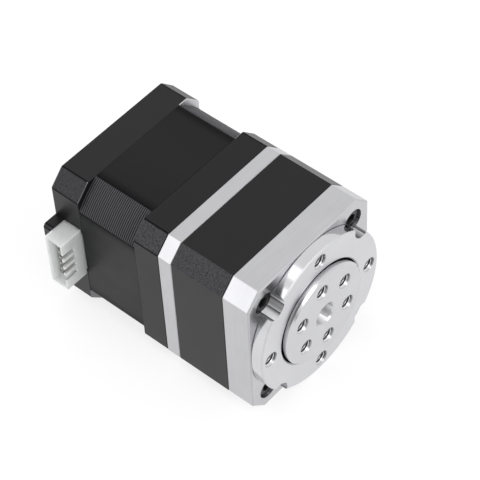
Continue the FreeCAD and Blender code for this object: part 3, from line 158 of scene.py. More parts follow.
class Coat(Graph):
    """A material in the making, with what its patterns start from.

    Attributes:
        material: the material.
        shader: its surface shader.
        spot: object coordinates of a point.
        normal: the way in which the surface looks there.
        marks: height of the finish's fine marks.
        patches: strength of its broad patches.
    """

    marks: bpy.types.Node
    patches: bpy.types.Node

    def __init__(self, name: str) -> None:
        """Start a material.

        Args:
            name: the material's name.
        """
        self.material = bpy.data.materials.new(name)
        self.material.use_nodes = True
        super().__init__(self.material.node_tree)
        self.shader = self.tree.nodes["Principled BSDF"]
        place = self.add("TexCoord").outputs
        self.spot, self.normal = place["Object"], place["Normal"]

    @cached_property
    def at(self) -> bpy.types.bpy_prop_collection:
        """Return x, y and z of a point."""
        return self.add("SeparateXYZ", self.spot).outputs

    @cached_property
    def looks(self) -> bpy.types.bpy_prop_collection:
        """Return x, y and z of the surface's direction."""
        return self.add("SeparateXYZ", self.normal).outputs

    @cached_property
    def squareness(self) -> bpy.types.Node:
        """Return |y| of the surface's direction: one on a face across the axis, zero on a wall along it."""
        return self.add("Math", self.looks["Y"], operation="ABSOLUTE")

    @cached_property
    def slant(self) -> bpy.types.Node:
        """Return |x z| of the surface's direction: zero on the frame's sides, a half on its chamfers."""
        product = self.add("Math", self.looks["X"], self.looks["Z"], operation="MULTIPLY")
        return self.add("Math", product, operation="ABSOLUTE")

    @cached_property
    def diagonal(self) -> bpy.types.Node:
        """Return x times z of a point, whose sign tells two of the frame's corners from the other two."""
        return self.add("Math", self.at["X"], self.at["Z"], operation="MULTIPLY")

    @cached_property
    def crest(self) -> bpy.types.NodeSocket:
        """Return the piece's own crest attribute."""
        return self.add("Attribute", attribute_name="crest").outputs["Fac"]

    def fed(self, name: str) -> bpy.types.NodeSocket:
        """Return what feeds one of the shader's sockets so far."""
        return self.shader.inputs[name].links[0].from_socket

    def feed(self, name: str, value: object) -> None:
        """Set one of the shader's sockets to a constant, or link it."""
        self.link(value, self.shader.inputs[name])


class Grain(Enum):
    """How a surface was made, as the stretch of its marks along x, y and z."""

    TURNED = (0.0, 0.0, 0.0)
    MILLED = (0.04, 1.0, 0.04)
    EVEN = (1.0, 1.0, 1.0)
    LAYERED = (0.02, 1.0, 0.02)


class Side(Enum):
    """Which way along y a face looks."""

    FRONT = -1.0
    REAR = 1.0


@dataclass(frozen=True)
class Finish:
    """A real material and the way its surface was made.

    Attributes:
        name: the material's common name with its surface.
        colour: sRGB hex of the clean surface.
        shade: sRGB hex of its darker patches.
        roughness: its mean roughness.
        pitch_mm: spacing of its fine marks.
        relief_mm: height of the marks.
        grain: the way the marks run.
        metallic: one for bare metal.
        specular: specular level, half being the common one.
        mottle_mm: size of its broad patches.
        waver: share by which the roughness wanders over the patches.
        chamfer: sRGB hex of the specks on corner chamfers, which are painted highlight.
        mark_noise: octaves of the marks' noise, and the share that each keeps of the last one's height.
        patch_octaves: octaves of the patches' noise.
    """

    name: str
    colour: str
    shade: str
    roughness: float
    pitch_mm: float
    relief_mm: float
    grain: Grain = Grain.EVEN
    metallic: float = 0.0
    specular: float = 0.5
    mottle_mm: float = 7.0
    waver: float = 0.06
    chamfer: str | None = None
    mark_noise: tuple[float, float] = (2.0, 0.6)
    patch_octaves: float = 3.0

    def marks(self, coat: Coat) -> bpy.types.Node:
        """Lay the surface's marks over object coordinates.

        Turned marks are noise over radius plus depth, so they run in rings on a face and round a wall.
        Other marks are noise over coordinates squeezed along the way the marks run.

        Args:
            coat: the material in the making.

        Returns:
            The marks' height from zero to one.
        """
        if self.grain is Grain.TURNED:
            flat = coat.add("VectorMath", coat.spot, ACROSS, operation="MULTIPLY")
            radius = coat.add("VectorMath", flat, operation="LENGTH")
            spot = coat.add("CombineXYZ", coat.add("Math", radius, coat.at["Y"], operation="ADD"))
        else:
            spot = coat.add("VectorMath", coat.spot, self.grain.value, operation="MULTIPLY")
        return coat.add("TexNoise", spot, 1 / (self.pitch_mm * MM), *self.mark_noise)

    def tint(self, coat: Coat) -> bpy.types.Node:
        """Mix the two colours by the fine marks within the broad patches, and add specks of painted highlight
        on chamfers.

        Args:
            coat: the material in the making.

        Returns:
            The colour.
        """
        both = coat.add("Math", coat.marks, coat.patches, operation="MULTIPLY")
        share = coat.add("MapRange", both, *SHADE_TO_COLOUR)
        plain = coat.add("Mix", share, linear(self.shade), linear(self.colour), data_type="RGBA")
        if self.chamfer is None:
            return plain
        # Lighter specks on the corner chamfers: painted highlight.
        there = coat.add("MapRange", coat.slant, *SIDE_TO_CHAMFER)
        speck = coat.add("MapRange", coat.marks, *MIDDLE, 0.0, there)
        return coat.add("Mix", speck, plain, linear(self.chamfer), data_type="RGBA")

    def gloss(self, coat: Coat) -> bpy.types.Node:
        """Return the roughness, which wanders over the broad patches."""
        low, high = self.roughness * (1 - self.waver), self.roughness * (1 + self.waver)
        return coat.add("MapRange", coat.patches, *MIDDLE, low, high)

    def complete(self, coat: Coat) -> None:
        """Set what only this kind of finish has."""
        coat.feed("Metallic", self.metallic)

    def material(self) -> bpy.types.Material:
        """Build the finish as a node material.

        Returns:
            A material whose colour, roughness and relief come from procedural patterns.
        """
        coat = Coat(self.name)
        coat.marks = self.marks(coat)
        coat.patches = coat.add("TexNoise", coat.spot, 1 / (self.mottle_mm * MM), self.patch_octaves)
        bump = coat.add("Bump", 1.0, self.relief_mm * MM)
        coat.link(coat.marks, bump.inputs["Height"])
        coat.feed("Base Color", self.tint(coat))
        coat.feed("Roughness", self.gloss(coat))
        coat.feed("Normal", bump)
        coat.feed("Specular IOR Level", self.specular)
        self.complete(coat)
        return coat.material


@dataclass(frozen=True)
class Pocket:
    """A round hole on the axis, or four at the corners of a square, drilled rougher than the faces.

    Attributes:
        spread_mm: distance of the hole's axis from the middle along x, and along z.
        radius_mm: reach of its wall.
        roughness: roughness of its wall.
        colour: sRGB hex of the wall, drawn lighter than the faces as painted reflection.
        shade: sRGB hex of the dark side of the streaks, which is painted shade.
        streaks: how many streaks of painted reflection and shade there are round the hole, drawn like the
            tool's streaks.
        first_deg: angle of the first streak from +x towards +z.
        tilt: how far the tool's steps look out of the hole, as a tangent; they are too fine to draw.
        dull: share of the streaks' brightness that is left in the two holes whose x and z have one sign,
            darker there as painted shade.
    """

    spread_mm: float
    radius_mm: float
    roughness: float
    colour: str
    shade: str
    streaks: int
    first_deg: float
    tilt: float = 0.6
    dull: float = 0.2

    def offset(self, coat: Coat) -> bpy.types.Node:
        """Find the way from the nearest hole's axis, with holes left or below folded over.

        Args:
            coat: the material in the making.

        Returns:
            That way, across the axis.
        """
        spot = coat.add("VectorMath", coat.spot, operation="ABSOLUTE") if self.spread_mm else coat.spot
        middle = (self.spread_mm * MM, 0, self.spread_mm * MM)
        away = coat.add("VectorMath", spot, middle, operation="SUBTRACT")
        return coat.add("VectorMath", away, ACROSS, operation="MULTIPLY")

    def mask(self, coat: Coat) -> bpy.types.Node:
        """Find the hole's wall, which looks across the axis within the radius.

        Args:
            coat: the material in the making.

        Returns:
            One on the wall and zero elsewhere.
        """
        reach = coat.add("VectorMath", self.offset(coat), operation="LENGTH")
        within = coat.add("Math", reach, self.radius_mm * MM, operation="LESS_THAN")
        across = coat.add("Math", coat.squareness, HOLE_WALL, operation="LESS_THAN")
        return coat.add("Math", within, across, operation="MULTIPLY")

    def tint(self, coat: Coat) -> bpy.types.Node:
        """Let the colour rise from shade to full round every streak, as a sawtooth of the angle, which paints
        reflection and shade on the wall.

        Args:
            coat: the material in the making.

        Returns:
            The colour.
        """
        way = coat.add("SeparateXYZ", self.offset(coat)).outputs
        spot = coat.add("CombineXYZ", way["X"], way["Z"])
        turn = coat.add("TexGradient", spot, gradient_type="RADIAL").outputs["Fac"]
        start = -self.streaks * (self.first_deg / 360 + 0.5)
        step = coat.add("Math", turn, float(self.streaks), start, operation="MULTIPLY_ADD")
        share = coat.add("Math", step, operation="FRACT")
        # Two of the four corner holes are drawn darker still: painted shade.
        if self.spread_mm:
            clean = coat.add("MapRange", coat.diagonal, -FOLD, FOLD, 1.0, self.dull)
            share = coat.add("Math", share, clean, operation="MULTIPLY")
        return coat.add("Mix", share, linear(self.shade), linear(self.colour), data_type="RGBA")


@dataclass(frozen=True, kw_only=True)
class CutMetal(Finish):
    """Bare metal whose walls and pockets were cut differently from its faces.

    Attributes:
        wall_roughness: roughness of the faces along the axis.
        edge_roughness: roughness of the rounded edges between faces and walls.
        pocket: the holes with a surface of their own.
    """

    wall_roughness: float
    edge_roughness: float = 0.6
    pocket: Pocket

    def tint(self, coat: Coat) -> bpy.types.Node:
        """Return the plain metal's colour with streaks of painted reflection and shade on its holes' walls."""
        plain = super().tint(coat)
        return coat.add("Mix", self.pocket.mask(coat), plain, self.pocket.tint(coat), data_type="RGBA")

    def gloss(self, coat: Coat) -> bpy.types.Node:
        """Give faces, walls, edges and pockets a roughness each.

        Args:
            coat: the material in the making.

        Returns:
            The roughness.
        """
        low, high = WALL_TO_FACE
        toward = coat.add("MapRange", coat.squareness, low, high)
        rough = coat.add("Mix", toward, self.wall_roughness, super().gloss(coat))
        edge = coat.add("Math", coat.squareness, (low + high) / 2, (high - low) / 2, operation="COMPARE")
        rough = coat.add("Mix", edge, rough, self.edge_roughness)
        return coat.add("Mix", self.pocket.mask(coat), rough, self.pocket.roughness)

    def complete(self, coat: Coat) -> None:
        """Set the metal, and turn the pockets' walls a little out of the hole, as the tool's steps are.

        Args:
            coat: the material in the making.
        """
        super().complete(coat)
        lean = coat.add("VectorMath", (0, -self.pocket.tilt, 0), self.pocket.mask(coat), operation="SCALE")
        both = coat.add("VectorMath", coat.fed("Normal"), lean, operation="ADD")
        coat.feed("Normal", coat.add("VectorMath", both, operation="NORMALIZE"))


@dataclass(frozen=True, kw_only=True)
class JointPaint(Finish):
    """Paint on a casting whose corners were machined bare on the joint's side.

    Attributes:
        bare_side: the way that the joint looks.
        corner_mm: the bare corners have |x| + |z| above this.
        other_mm: the same limit at the two corners whose x and z differ in sign.
        facing: how squarely a bare face looks along y, from zero to one.
        bare_colour: sRGB hex of the bare metal.
        left_shade_colour: sRGB hex of the bare metal on the left corners, drawn darker as painted shade.
        bare_roughness: roughness of the bare metal.
        edge_sheen: share of the specular level that is left on the round long edges.
    """

    bare_side: Side
    corner_mm: float = 35.5
    other_mm: float = 35.5
    facing: float = 0.6
    bare_colour: str = "#C6C6C9"
    left_shade_colour: str = "#7C7C80"
    bare_roughness: float = 0.38
    edge_sheen: float = 0.2

    def bare(self, coat: Coat) -> bpy.types.Node:
        """Find the bare corners of the joint.

        Args:
            coat: the material in the making.

        Returns:
            One on the bare metal and zero on the paint.
        """
        looks = coat.add("Math", coat.looks["Y"], self.bare_side.value, operation="MULTIPLY")
        square = coat.add("Math", looks, self.facing, operation="GREATER_THAN")
        folded = coat.add("VectorMath", coat.spot, operation="ABSOLUTE")
        reach = coat.add("VectorMath", folded, ACROSS, operation="DOT_PRODUCT")
        limit = coat.add("MapRange", coat.diagonal, -FOLD, FOLD, self.other_mm * MM, self.corner_mm * MM)
        corner = coat.add("Math", reach, limit, operation="GREATER_THAN")
        return coat.add("Math", square, corner, operation="MULTIPLY")

    def complete(self, coat: Coat) -> None:
        """Lay the bare metal over the paint, and dull the paint on the round long edges.

        Args:
            coat: the material in the making.
        """
        bare = self.bare(coat)
        # Bare metal at x below zero is drawn darker: painted shade.
        right = coat.add("Math", coat.at["X"], 0.0, operation="GREATER_THAN")
        metal = coat.add("Mix", right, linear(self.left_shade_colour), linear(self.bare_colour), data_type="RGBA")
        coat.feed("Base Color", coat.add("Mix", bare, coat.fed("Base Color"), metal, data_type="RGBA"))
        coat.feed("Roughness", coat.add("Mix", bare, coat.fed("Roughness"), self.bare_roughness))
        coat.feed("Metallic", bare)
        apart = coat.add("Math", coat.slant, ROUND_EDGE, operation="SUBTRACT")
        apart = coat.add("Math", apart, operation="ABSOLUTE")
        sheen = coat.add("MapRange", apart, *OFF_EDGE, self.specular * self.edge_sheen, self.specular)
        coat.feed("Specular IOR Level", sheen)


@dataclass(frozen=True)
class TappedMetal(Finish):
    """A cut thread, with painted shade in its roots and bright on its crests.

    Attributes:
        root_shade: sRGB hex of the roots, which is painted shade.
    """

    root_shade: str = "#4A4A4D"

    def tint(self, coat: Coat) -> bpy.types.Node:
        """Return a colour that goes from the roots' to the metal's with the crest attribute."""
        share = coat.add("MapRange", coat.crest, *ROOT_TO_CREST)
        return coat.add("Mix", share, linear(self.root_shade), super().tint(coat), data_type="RGBA")


@dataclass(frozen=True)
class SheetPaint(Finish):
    """Paint on stacked sheets: thin on their rounded corners, where edges show, and matt in runs beside them.

    Attributes:
        worn: sRGB hex of the thin paint.
        run_specular: specular level of the runs.
    """

    worn: str = "#48484C"
    run_specular: float = 0.06

    def tint(self, coat: Coat) -> bpy.types.Node:
        """Return a colour that goes from the full paint to the thin paint with the crest attribute."""
        return coat.add("Mix", coat.crest, super().tint(coat), linear(self.worn), data_type="RGBA")

    def complete(self, coat: Coat) -> None:
        """Take the sheen away where the crest attribute falls below zero.

        Args:
            coat: the material in the making.
        """
        super().complete(coat)
        sheen = coat.add("MapRange", coat.crest, -1.0, 0.0, self.run_specular, self.specular)
        coat.feed("Specular IOR Level", sheen)


@dataclass(frozen=True)
class WaxyPlastic(Finish):
    """A moulded plastic that lets some light into it.

    Attributes:
        scatter: share of the light that goes in.
        depth_mm: how far it spreads inside, alike for red, green and blue.
        keyway_shade: sRGB hex of the walls of its keyways, which is painted shade.
        keyway_mm: the keyways lie before this y, and within this z on both sides of the middle.
    """

    scatter: float = 1.0
    depth_mm: float = 5.0
    keyway_shade: str = "#8A8B89"
    keyway_mm: tuple[float, float] = (55.4, 4.5)

    def tint(self, coat: Coat) -> bpy.types.Node:
        """Darken the walls that look up or down in the keyways, as painted shade.

        Args:
            coat: the material in the making.

        Returns:
            The colour.
        """
        level = coat.add("Math", coat.looks["Z"], operation="ABSOLUTE")
        inside = coat.add("Math", level, LEVEL_WALL, operation="GREATER_THAN")
        middle = coat.add("Math", coat.at["Z"], operation="ABSOLUTE")
        for value, limit in zip((coat.at["Y"], middle), self.keyway_mm):
            near = coat.add("Math", value, limit * MM, operation="LESS_THAN")
            inside = coat.add("Math", inside, near, operation="MULTIPLY")
        return coat.add("Mix", inside, super().tint(coat), linear(self.keyway_shade), data_type="RGBA")

    def complete(self, coat: Coat) -> None:
        """Set the share and the reach of the scattered light.

        Args:
            coat: the material in the making.
        """
        super().complete(coat)
        coat.feed("Subsurface Weight", self.scatter)
        coat.feed("Subsurface Radius", (1.0, 1.0, 1.0))
        coat.feed("Subsurface Scale", self.depth_mm * MM)


# Turned aluminium: pale, with rings too fine to see that spread the light; its walls are nearly mirrors.
TURNED_ALUMINIUM = CutMetal("Turned aluminium", "#D5D5D8", "#CDCDD0", 0.33, 0.3, 0.0006, Grain.TURNED, 1.0,
                            wall_roughness=0.15,
                            # Its corner pockets' walls are drawn lighter, with streaks of painted reflection
                            # and shade.
                            pocket=Pocket(CORNER_MM, 3.1, 0.4, "#E4E4E6", "#3A3A3E", 8, -170.0, dull=0.55))
# The same on the disc, with a reamed hole in the middle that is duller than the faces, its wall drawn lighter
# in bands of painted reflection and shade.
TURNED_DISC = CutMetal("Turned aluminium, reamed bore", "#D1D1D4", "#C9C9CC", 0.33, 0.3, 0.0006, Grain.TURNED,
                       1.0, wall_roughness=0.16, edge_roughness=0.2,
                       pocket=Pocket(0.0, 3.05, 0.5, "#E6E6E8", "#B0B0B2", 6, -68.0))
# Milled aluminium: the same metal a little duller, with faint strokes across the axis; its corner pockets'
# walls are drawn lighter, with streaks of painted reflection and shade.
MILLED_ALUMINIUM = CutMetal("Milled aluminium", "#C6C6C9", "#BEBEC1", 0.22, 0.35, 0.0008, Grain.MILLED, 1.0,
                            wall_roughness=0.34,
                            pocket=Pocket(CORNER_MM, 3.1, 0.4, "#E4E4E6", "#3A3A3E", 8, -170.0))
# Aluminium of a small rounded edge, drawn near white as a painted highlight, a line of light that shows from
# every side.
HIGHLIGHT_EDGE = Finish("Aluminium edge with painted highlight", "#F8F8FA", "#F4F4F6", 0.3, 0.3, 0.0003, Grain.TURNED, 0.1)
# Tapped aluminium: bright crests over roots darkened with painted shade.
TAPPED_ALUMINIUM = TappedMetal("Tapped aluminium", "#E4E4E6", "#D8D8DB", 0.36, 0.2, 0.0006, Grain.TURNED, 0.7)
# Black anodised aluminium: a deep satin black with a fine blasted grain, which is drawn coarser than it is so
# that it shows.
# Its chamfer specks are painted highlight.
BLACK_ANODISED = Finish("Black anodised aluminium", "#0F0F11", "#0A0A0C", 0.36, 0.4, 0.012, specular=0.28,
                        chamfer="#3E3E43")
# Black paint on die cast aluminium: satin with orange peel, with specks of painted highlight on its corner
# chamfers.
FRONT_PAINT = JointPaint("Black paint on cast aluminium, front", "#0C0C0E", "#08080A", 0.38, 0.45, 0.009,
                         specular=0.27, bare_side=Side.REAR, chamfer="#404044")
REAR_PAINT = JointPaint("Black paint on cast aluminium, rear", "#161618", "#101012", 0.4, 0.45, 0.009,
                        specular=0.28, bare_side=Side.FRONT, chamfer="#303034", other_mm=38.1)
# Black painted electrical steel sheets: satin, with a slightly different tone on every sheet.
PAINTED_SHEETS = SheetPaint("Black painted steel sheets", "#0B0B0D", "#070709", 0.42, 0.5, 0.0004,
                            Grain.LAYERED, specular=0.24)
# Black oxide on steel: dark with a dry sheen.
BLACK_OXIDE = Finish("Black oxide steel", "#161617", "#101011", 0.32, 0.2, 0.002)
# Zinc plated steel: grey and fairly bright.
ZINC_PLATE = Finish("Zinc plated steel", "#B9BABC", "#A4A5A8", 0.3, 0.3, 0.001, metallic=1.0)
# Ground bearing steel: close to a mirror, with grinding lines round the axis.
GROUND_STEEL = Finish("Ground bearing steel", "#C6C7C9", "#B8B9BC", 0.15, 0.2, 0.0004, Grain.TURNED, 1.0)
# Hobbed gear steel: grey, with machining lines.
GEAR_STEEL = Finish("Hobbed gear steel", "#A9AAAD", "#97989C", 0.3, 0.25, 0.0008, Grain.TURNED, 1.0)
# Bare electrical steel of the rotor: dull grey sheets.
ROTOR_SHEETS = Finish("Ground rotor sheets", "#8C8D90", "#77787C", 0.36, 0.5, 0.002, Grain.LAYERED, 1.0)
# Nickel plated magnet: bright grey with a soft haze.
MAGNET_PLATE = Finish("Nickel plated magnet", "#9C9B98", "#8A8986", 0.28, 0.4, 0.001, metallic=1.0)
# Nitrile rubber: dull black.
NITRILE = Finish("Nitrile rubber", "#1C1C1C", "#151515", 0.7, 0.3, 0.003, specular=0.4)
# Natural nylon: off-white and waxy, so that light goes round its edges; the walls of its keyways are painted
# shade.
NYLON = WaxyPlastic("Moulded natural nylon", "#D0D2D2", "#C8CACA", 0.4, 0.6, 0.003, specular=0.45)
# Tin plated brass: soft silver.
TIN_PLATE = Finish("Tin plated brass", "#CFCDC6", "#BDBBB4", 0.32, 0.2, 0.001, metallic=1.0)
# Moulded glass filled nylon of the bobbins: dark, with fine flow marks.
BOBBIN_NYLON = Finish("Glass filled nylon", "#2B2C2E", "#232426", 0.5, 0.4, 0.004)
# Enamelled copper wire: orange brown with lines of single turns.
COPPER_WIRE = Finish("Enamelled copper wire", "#B4622F", "#8C4520", 0.3, 0.3, 0.03, Grain.LAYERED, 0.9)
# Glass epoxy board with a green solder mask.
BOARD = Finish("Glass epoxy board", "#2D6B40", "#245735", 0.35, 0.5, 0.002)


class Paintbox:
    """Keeps one material for each finish."""

    def __init__(self) -> None:
        """Start with no materials."""
        self.made: dict[Finish, bpy.types.Material] = {}

    def dress(self, piece: bpy.types.Object, finish: Finish) -> None:
        """Give a piece one finish in place of the materials it came with.

        Args:
            piece: the piece.
            finish: its finish, whose material is made on first use.
        """
        if finish not in self.made:
            self.made[finish] = finish.material()
        piece.data.materials.clear()
        piece.data.materials.append(self.made[finish])


PAINT = Paintbox()


def surface(name: str, points: np.ndarray, closed: tuple[bool, bool], crease_deg: float = 35.0,
            crest: np.ndarray | None = None) -> bpy.types.Object:
    """Join grids of points into one mesh piece.

    Args:
        name: the piece's name.
        points: copies, rows, columns and coordinates in metres.
        closed: whether the rows, and the columns, run back into their start.
        crease_deg: edges sharper than this stay sharp.
        crest: a value for every point, kept as the piece's crest attribute.

    Returns:
        The piece, welded, with its faces looking outwards.
    """
    copies, rows, columns, _ = points.shape
    here = np.arange(copies * rows * columns).reshape(copies, rows, columns)
    beside = np.roll(here, -1, axis=2)
    below = np.roll(here, -1, axis=1)
    quads = np.stack([here, beside, np.roll(below, -1, axis=2), below], axis=-1)
    quads = quads[:, :None if closed[0] else -1, :None if closed[1] else -1].reshape(-1, 4)
    mesh = bpy.data.meshes.new(name)
    mesh.from_pydata(points.reshape(-1, 3), [], quads)
    if crest is not None:
        mesh.attributes.new("crest", "FLOAT", "POINT").data.foreach_set("value", crest.ravel())
    return finished(name, mesh, crease_deg)


def finished(name: str, mesh: bpy.types.Mesh, crease_deg: float) -> bpy.types.Object:
    """Weld a closed mesh, turn its faces outwards, shade it and hang it in the scene.

    Args:
        name: the piece's name.
        mesh: its mesh.
        crease_deg: edges sharper than this stay sharp.

    Returns:
        The piece at the origin.
    """
    work = bmesh.new()
    work.from_mesh(mesh)
    bmesh.ops.remove_doubles(work, verts=work.verts, dist=MERGE)
    bmesh.ops.recalc_face_normals(work, faces=work.faces)
    work.to_mesh(mesh)
    work.free()
    mesh.shade_smooth()
    mesh.set_sharp_from_angle(angle=math.radians(crease_deg))
    piece = bpy.data.objects.new(name, mesh)
    bpy.context.scene.collection.objects.link(piece)
    return piece


def box_mm(node: str) -> tuple[np.ndarray, np.ndarray]:
    """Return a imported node's lowest and highest corners in mm."""
    low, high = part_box(node)
    return np.array(low) / MM, np.array(high) / MM


def on_axes(radius: np.ndarray, depth: np.ndarray, axes: np.ndarray, turn: np.ndarray) -> np.ndarray:
    """Set one turned shape on several axes along y.

    A point lies at its axis plus its radius in the direction of its angle, at its depth.

    Args:
        radius: rows and columns of radii in mm, each column at its own angle round the axis.
        depth: rows of depths in mm.
        axes: x and z of each axis in mm.
        turn: angle by which each copy is turned.

    Returns:
        Copies, rows, columns and coordinates in metres.
    """
    columns = radius.shape[1]
    angle = np.arange(columns) * TURN / columns + turn[:, None, None]
    x = axes[:, 0, None, None] + radius * np.cos(angle)
    z = axes[:, 1, None, None] + radius * np.sin(angle)
    y = np.broadcast_to(depth[None, :, None], x.shape)
    return np.stack([x, y, z], axis=-1) * MM


class SubAssembly:
    """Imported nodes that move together, with their finishes and the new pieces that dress them."""

    body: str
    finishes: dict[str, Finish]

    def dress(self) -> None:
        """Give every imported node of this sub-assembly its finish."""
        for node, finish in self.finishes.items():
            PAINT.dress(frame["nodes"][node], finish)
            LOG.info("%s: packed node in %s", node, finish.name)

    def install(self, piece: bpy.types.Object, slot: str, finish: Finish, *stands_for: str) -> None:
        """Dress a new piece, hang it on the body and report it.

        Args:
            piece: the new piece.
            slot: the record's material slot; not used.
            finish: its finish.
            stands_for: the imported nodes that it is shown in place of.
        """
        PAINT.dress(piece, finish)
        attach(piece, self.body)
        if stands_for:
            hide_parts(*stands_for)
        LOG.info("%s: %d faces on %s", piece.name, len(piece.data.polygons), self.body)


@dataclass(frozen=True)
class Thread:
    """Threads in a circle of tapped holes, as sleeves on the drilled walls.

    Attributes:
        mount: the record's bolt pattern.
        first_deg: angle of the first hole from +x towards +z.
        front_mm: depth of the face with the holes.
        back_mm: depth at which the thread ends.
        mouth_mm: radius of the countersink at that face.
        shine: crest value of the countersink, between the roots' and the crests', so that it takes part of the
            roots' painted shade.
        pitch_mm: thread pitch of an M4 screw.
        ridge_mm: height of the thread above the drilled wall.
        inset_mm: how far the roots stand off the drilled wall.
        cover_mm: how far the sleeve reaches into the metal.
        flank: slope of the tooth's flanks, where a plain triangle wave has one.
        run_out: share of its height that the thread gains over one pitch at its ends.
        columns: points round a hole.
        rows_per_pitch: points along one pitch.
    """

    mount: str
    first_deg: float
    front_mm: float
    back_mm: float
    mouth_mm: float = 2.05
    shine: float = 0.62
    pitch_mm: float = 0.7
    ridge_mm: float = 0.2
    inset_mm: float = 0.01
    cover_mm: float = 0.05
    flank: float = 1.5
    run_out: float = 3.0
    columns: int = 40
    rows_per_pitch: int = 10

    def build(self, name: str) -> bpy.types.Object:
        """Make the sleeves.

        The inside is r = wall - ridge * tooth(depth / pitch - angle / turn), where tooth is a flattened
        triangle wave that fades in and out at the ends. A cone of 45 degrees leads from the mouth to it.
        The outside is the same cone and a plain cylinder, within the metal.

        Args:
            name: the piece's name.

        Returns:
            One piece with a sleeve in every hole, and the tooth's height as its crest attribute.
        """
        dims = next(m["dims"] for m in frame["record"]["mounts"] if m["name"] == self.mount)
        wall = dims["hole_r_mm"] - self.inset_mm
        sink = self.mouth_mm - self.inset_mm - wall
        rows = int((self.back_mm - self.front_mm - sink) / self.pitch_mm * self.rows_per_pitch)
        depth = np.linspace(self.front_mm + sink, self.back_mm, rows)
        share = np.arange(self.columns) / self.columns
        wave = np.abs(((depth[:, None] / self.pitch_mm - share) % 1) * 2 - 1)
        ends = np.minimum(depth - depth[0], depth[-1] - depth) / self.pitch_mm
        tooth = np.clip(self.flank * (wave - 0.5) + 0.5, 0, 1)
        height = self.ridge_mm * tooth * np.clip(ends * self.run_out, 0, 1)[:, None]
        skirt = np.array([wall, wall, wall + sink]) + self.cover_mm
        plain = np.ones(self.columns)
        radius = np.vstack([(wall + sink) * plain, wall - height, skirt[:, None] * plain])
        crest = np.vstack([self.shine * plain, tooth, np.full((len(skirt), self.columns), self.shine)])
        along = np.concatenate([[self.front_mm], depth, depth[-1:], depth[:1], [self.front_mm]])
        angle = math.radians(self.first_deg) + np.arange(dims["count"]) * TURN / dims["count"]
        axes = np.stack([np.cos(angle), np.sin(angle)], axis=-1) * dims["pcd_mm"] / 2
        points = on_axes(radius, along, axes, np.zeros(len(axes)))
        return surface(name, points, (True, True), crest=np.tile(crest, (len(axes), 1, 1)))


@dataclass(frozen=True)
class CapScrew:
    """Socket head screws at the frame's corners.

    Attributes:
        node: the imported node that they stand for.
        side: the way that the heads look.
        head_mm: head height.
        dome_mm: how far the head's rim falls away from its face.
        socket_mm: socket depth.
        ribs: ribs round the head.
        rib_mm: their height.
        shank_mm: shank radius.
        flats_mm: socket across flats.
        floor_edge: share of the socket's width that its floor has, and height of the slope beside it.
        point_mm: how far the floor falls to its middle.
        mouth_edge: share of the socket's width that its mouth has, and depth of the slope below it.
        land_mm: width of the flat face outside the socket's corners.
        edge_mm: radius of the head's edge.
        plain_mm: lengths without ribs at the head's front and back.
        foot_mm: how far the head's wall falls in at its back.
        tip_mm: size of the tip's chamfer.
        turns_deg: how far each screw happens to be turned.
        columns: points round a screw.
        steps: points on the crown, and on the head's edge.
    """

    node: str
    side: Side
    head_mm: float
    dome_mm: float
    socket_mm: float
    ribs: int
    rib_mm: float
    shank_mm: float = 1.5
    flats_mm: float = 2.5
    floor_edge: tuple[float, float] = (0.98, 0.05)
    point_mm: float = 0.35
    mouth_edge: tuple[float, float] = (1.06, 0.12)
    land_mm: float = 0.15
    edge_mm: float = 0.18
    plain_mm: tuple[float, float] = (0.1, 0.2)
    foot_mm: float = 0.12
    tip_mm: float = 0.4
    turns_deg: tuple[float, ...] = (11.0, 47.0, 82.0, 25.0)
    columns: int = 120
    steps: int = 4

    def build(self, name: str) -> bpy.types.Object:
        """Make the screws as turned shapes with a hexagon socket and a ribbed head.

        The profile runs from the socket's floor over the rim, down the head and along the shank to the
        tip. Each row's radius is multiplied by a hexagon, a ribbed circle or a plain one.

        Args:
            name: the piece's name.

        Returns:
            One piece with the four screws.
        """
        low, high = box_mm(self.node)
        head, length = (high[0] - low[0]) / 2 - CORNER_MM, high[1] - low[1]
        edge, dome, deep, shank, tip = self.edge_mm, self.dome_mm, self.socket_mm, self.shank_mm, self.tip_mm
        apothem = self.flats_mm / 2
        rim = apothem * 2 / math.sqrt(3) + self.land_mm
        step = np.linspace(1 / self.steps, 1, self.steps)
        quarter = step * math.pi / 2
        socket = [(0, deep + self.point_mm), (apothem * self.floor_edge[0], deep),
                  (apothem, deep - self.floor_edge[1]), (apothem, self.mouth_edge[1]),
                  (apothem * self.mouth_edge[0], 0.0)]
        crown = np.vstack([[(rim, 0.0)], np.stack([rim + (head - edge - rim) * step, dome * step ** 2], -1)])
        corner = np.stack([head - edge + edge * np.sin(quarter), dome + edge * (1 - np.cos(quarter))], -1)
        wall = [(head, dome + edge + self.plain_mm[0]), (head, self.head_mm - self.plain_mm[1])]
        stem = [(head - self.foot_mm, self.head_mm), (shank, self.head_mm), (shank, length - tip),
                (shank - tip, length), (0, length)]
        radius, depth = np.vstack([socket, crown, corner, wall, stem]).T
        angle = np.arange(self.columns) * TURN / self.columns
        shape = np.ones((len(radius), self.columns))
        shape[:len(socket)] = 1 / np.cos(angle % (math.pi / 3) - math.pi / 6)
        ribbed = slice(-len(stem) - len(wall), -len(stem))
        shape[ribbed] = 1 - self.rib_mm / head * (0.5 + 0.5 * np.cos(self.ribs * angle))
        along = low[1] + depth if self.side is Side.FRONT else high[1] - depth
        axes = np.array([(1, 1), (-1, 1), (-1, -1), (1, -1)]) * CORNER_MM
        points = on_axes(radius[:, None] * shape, along, axes, np.radians(self.turns_deg))
        return surface(name, points, (False, True))


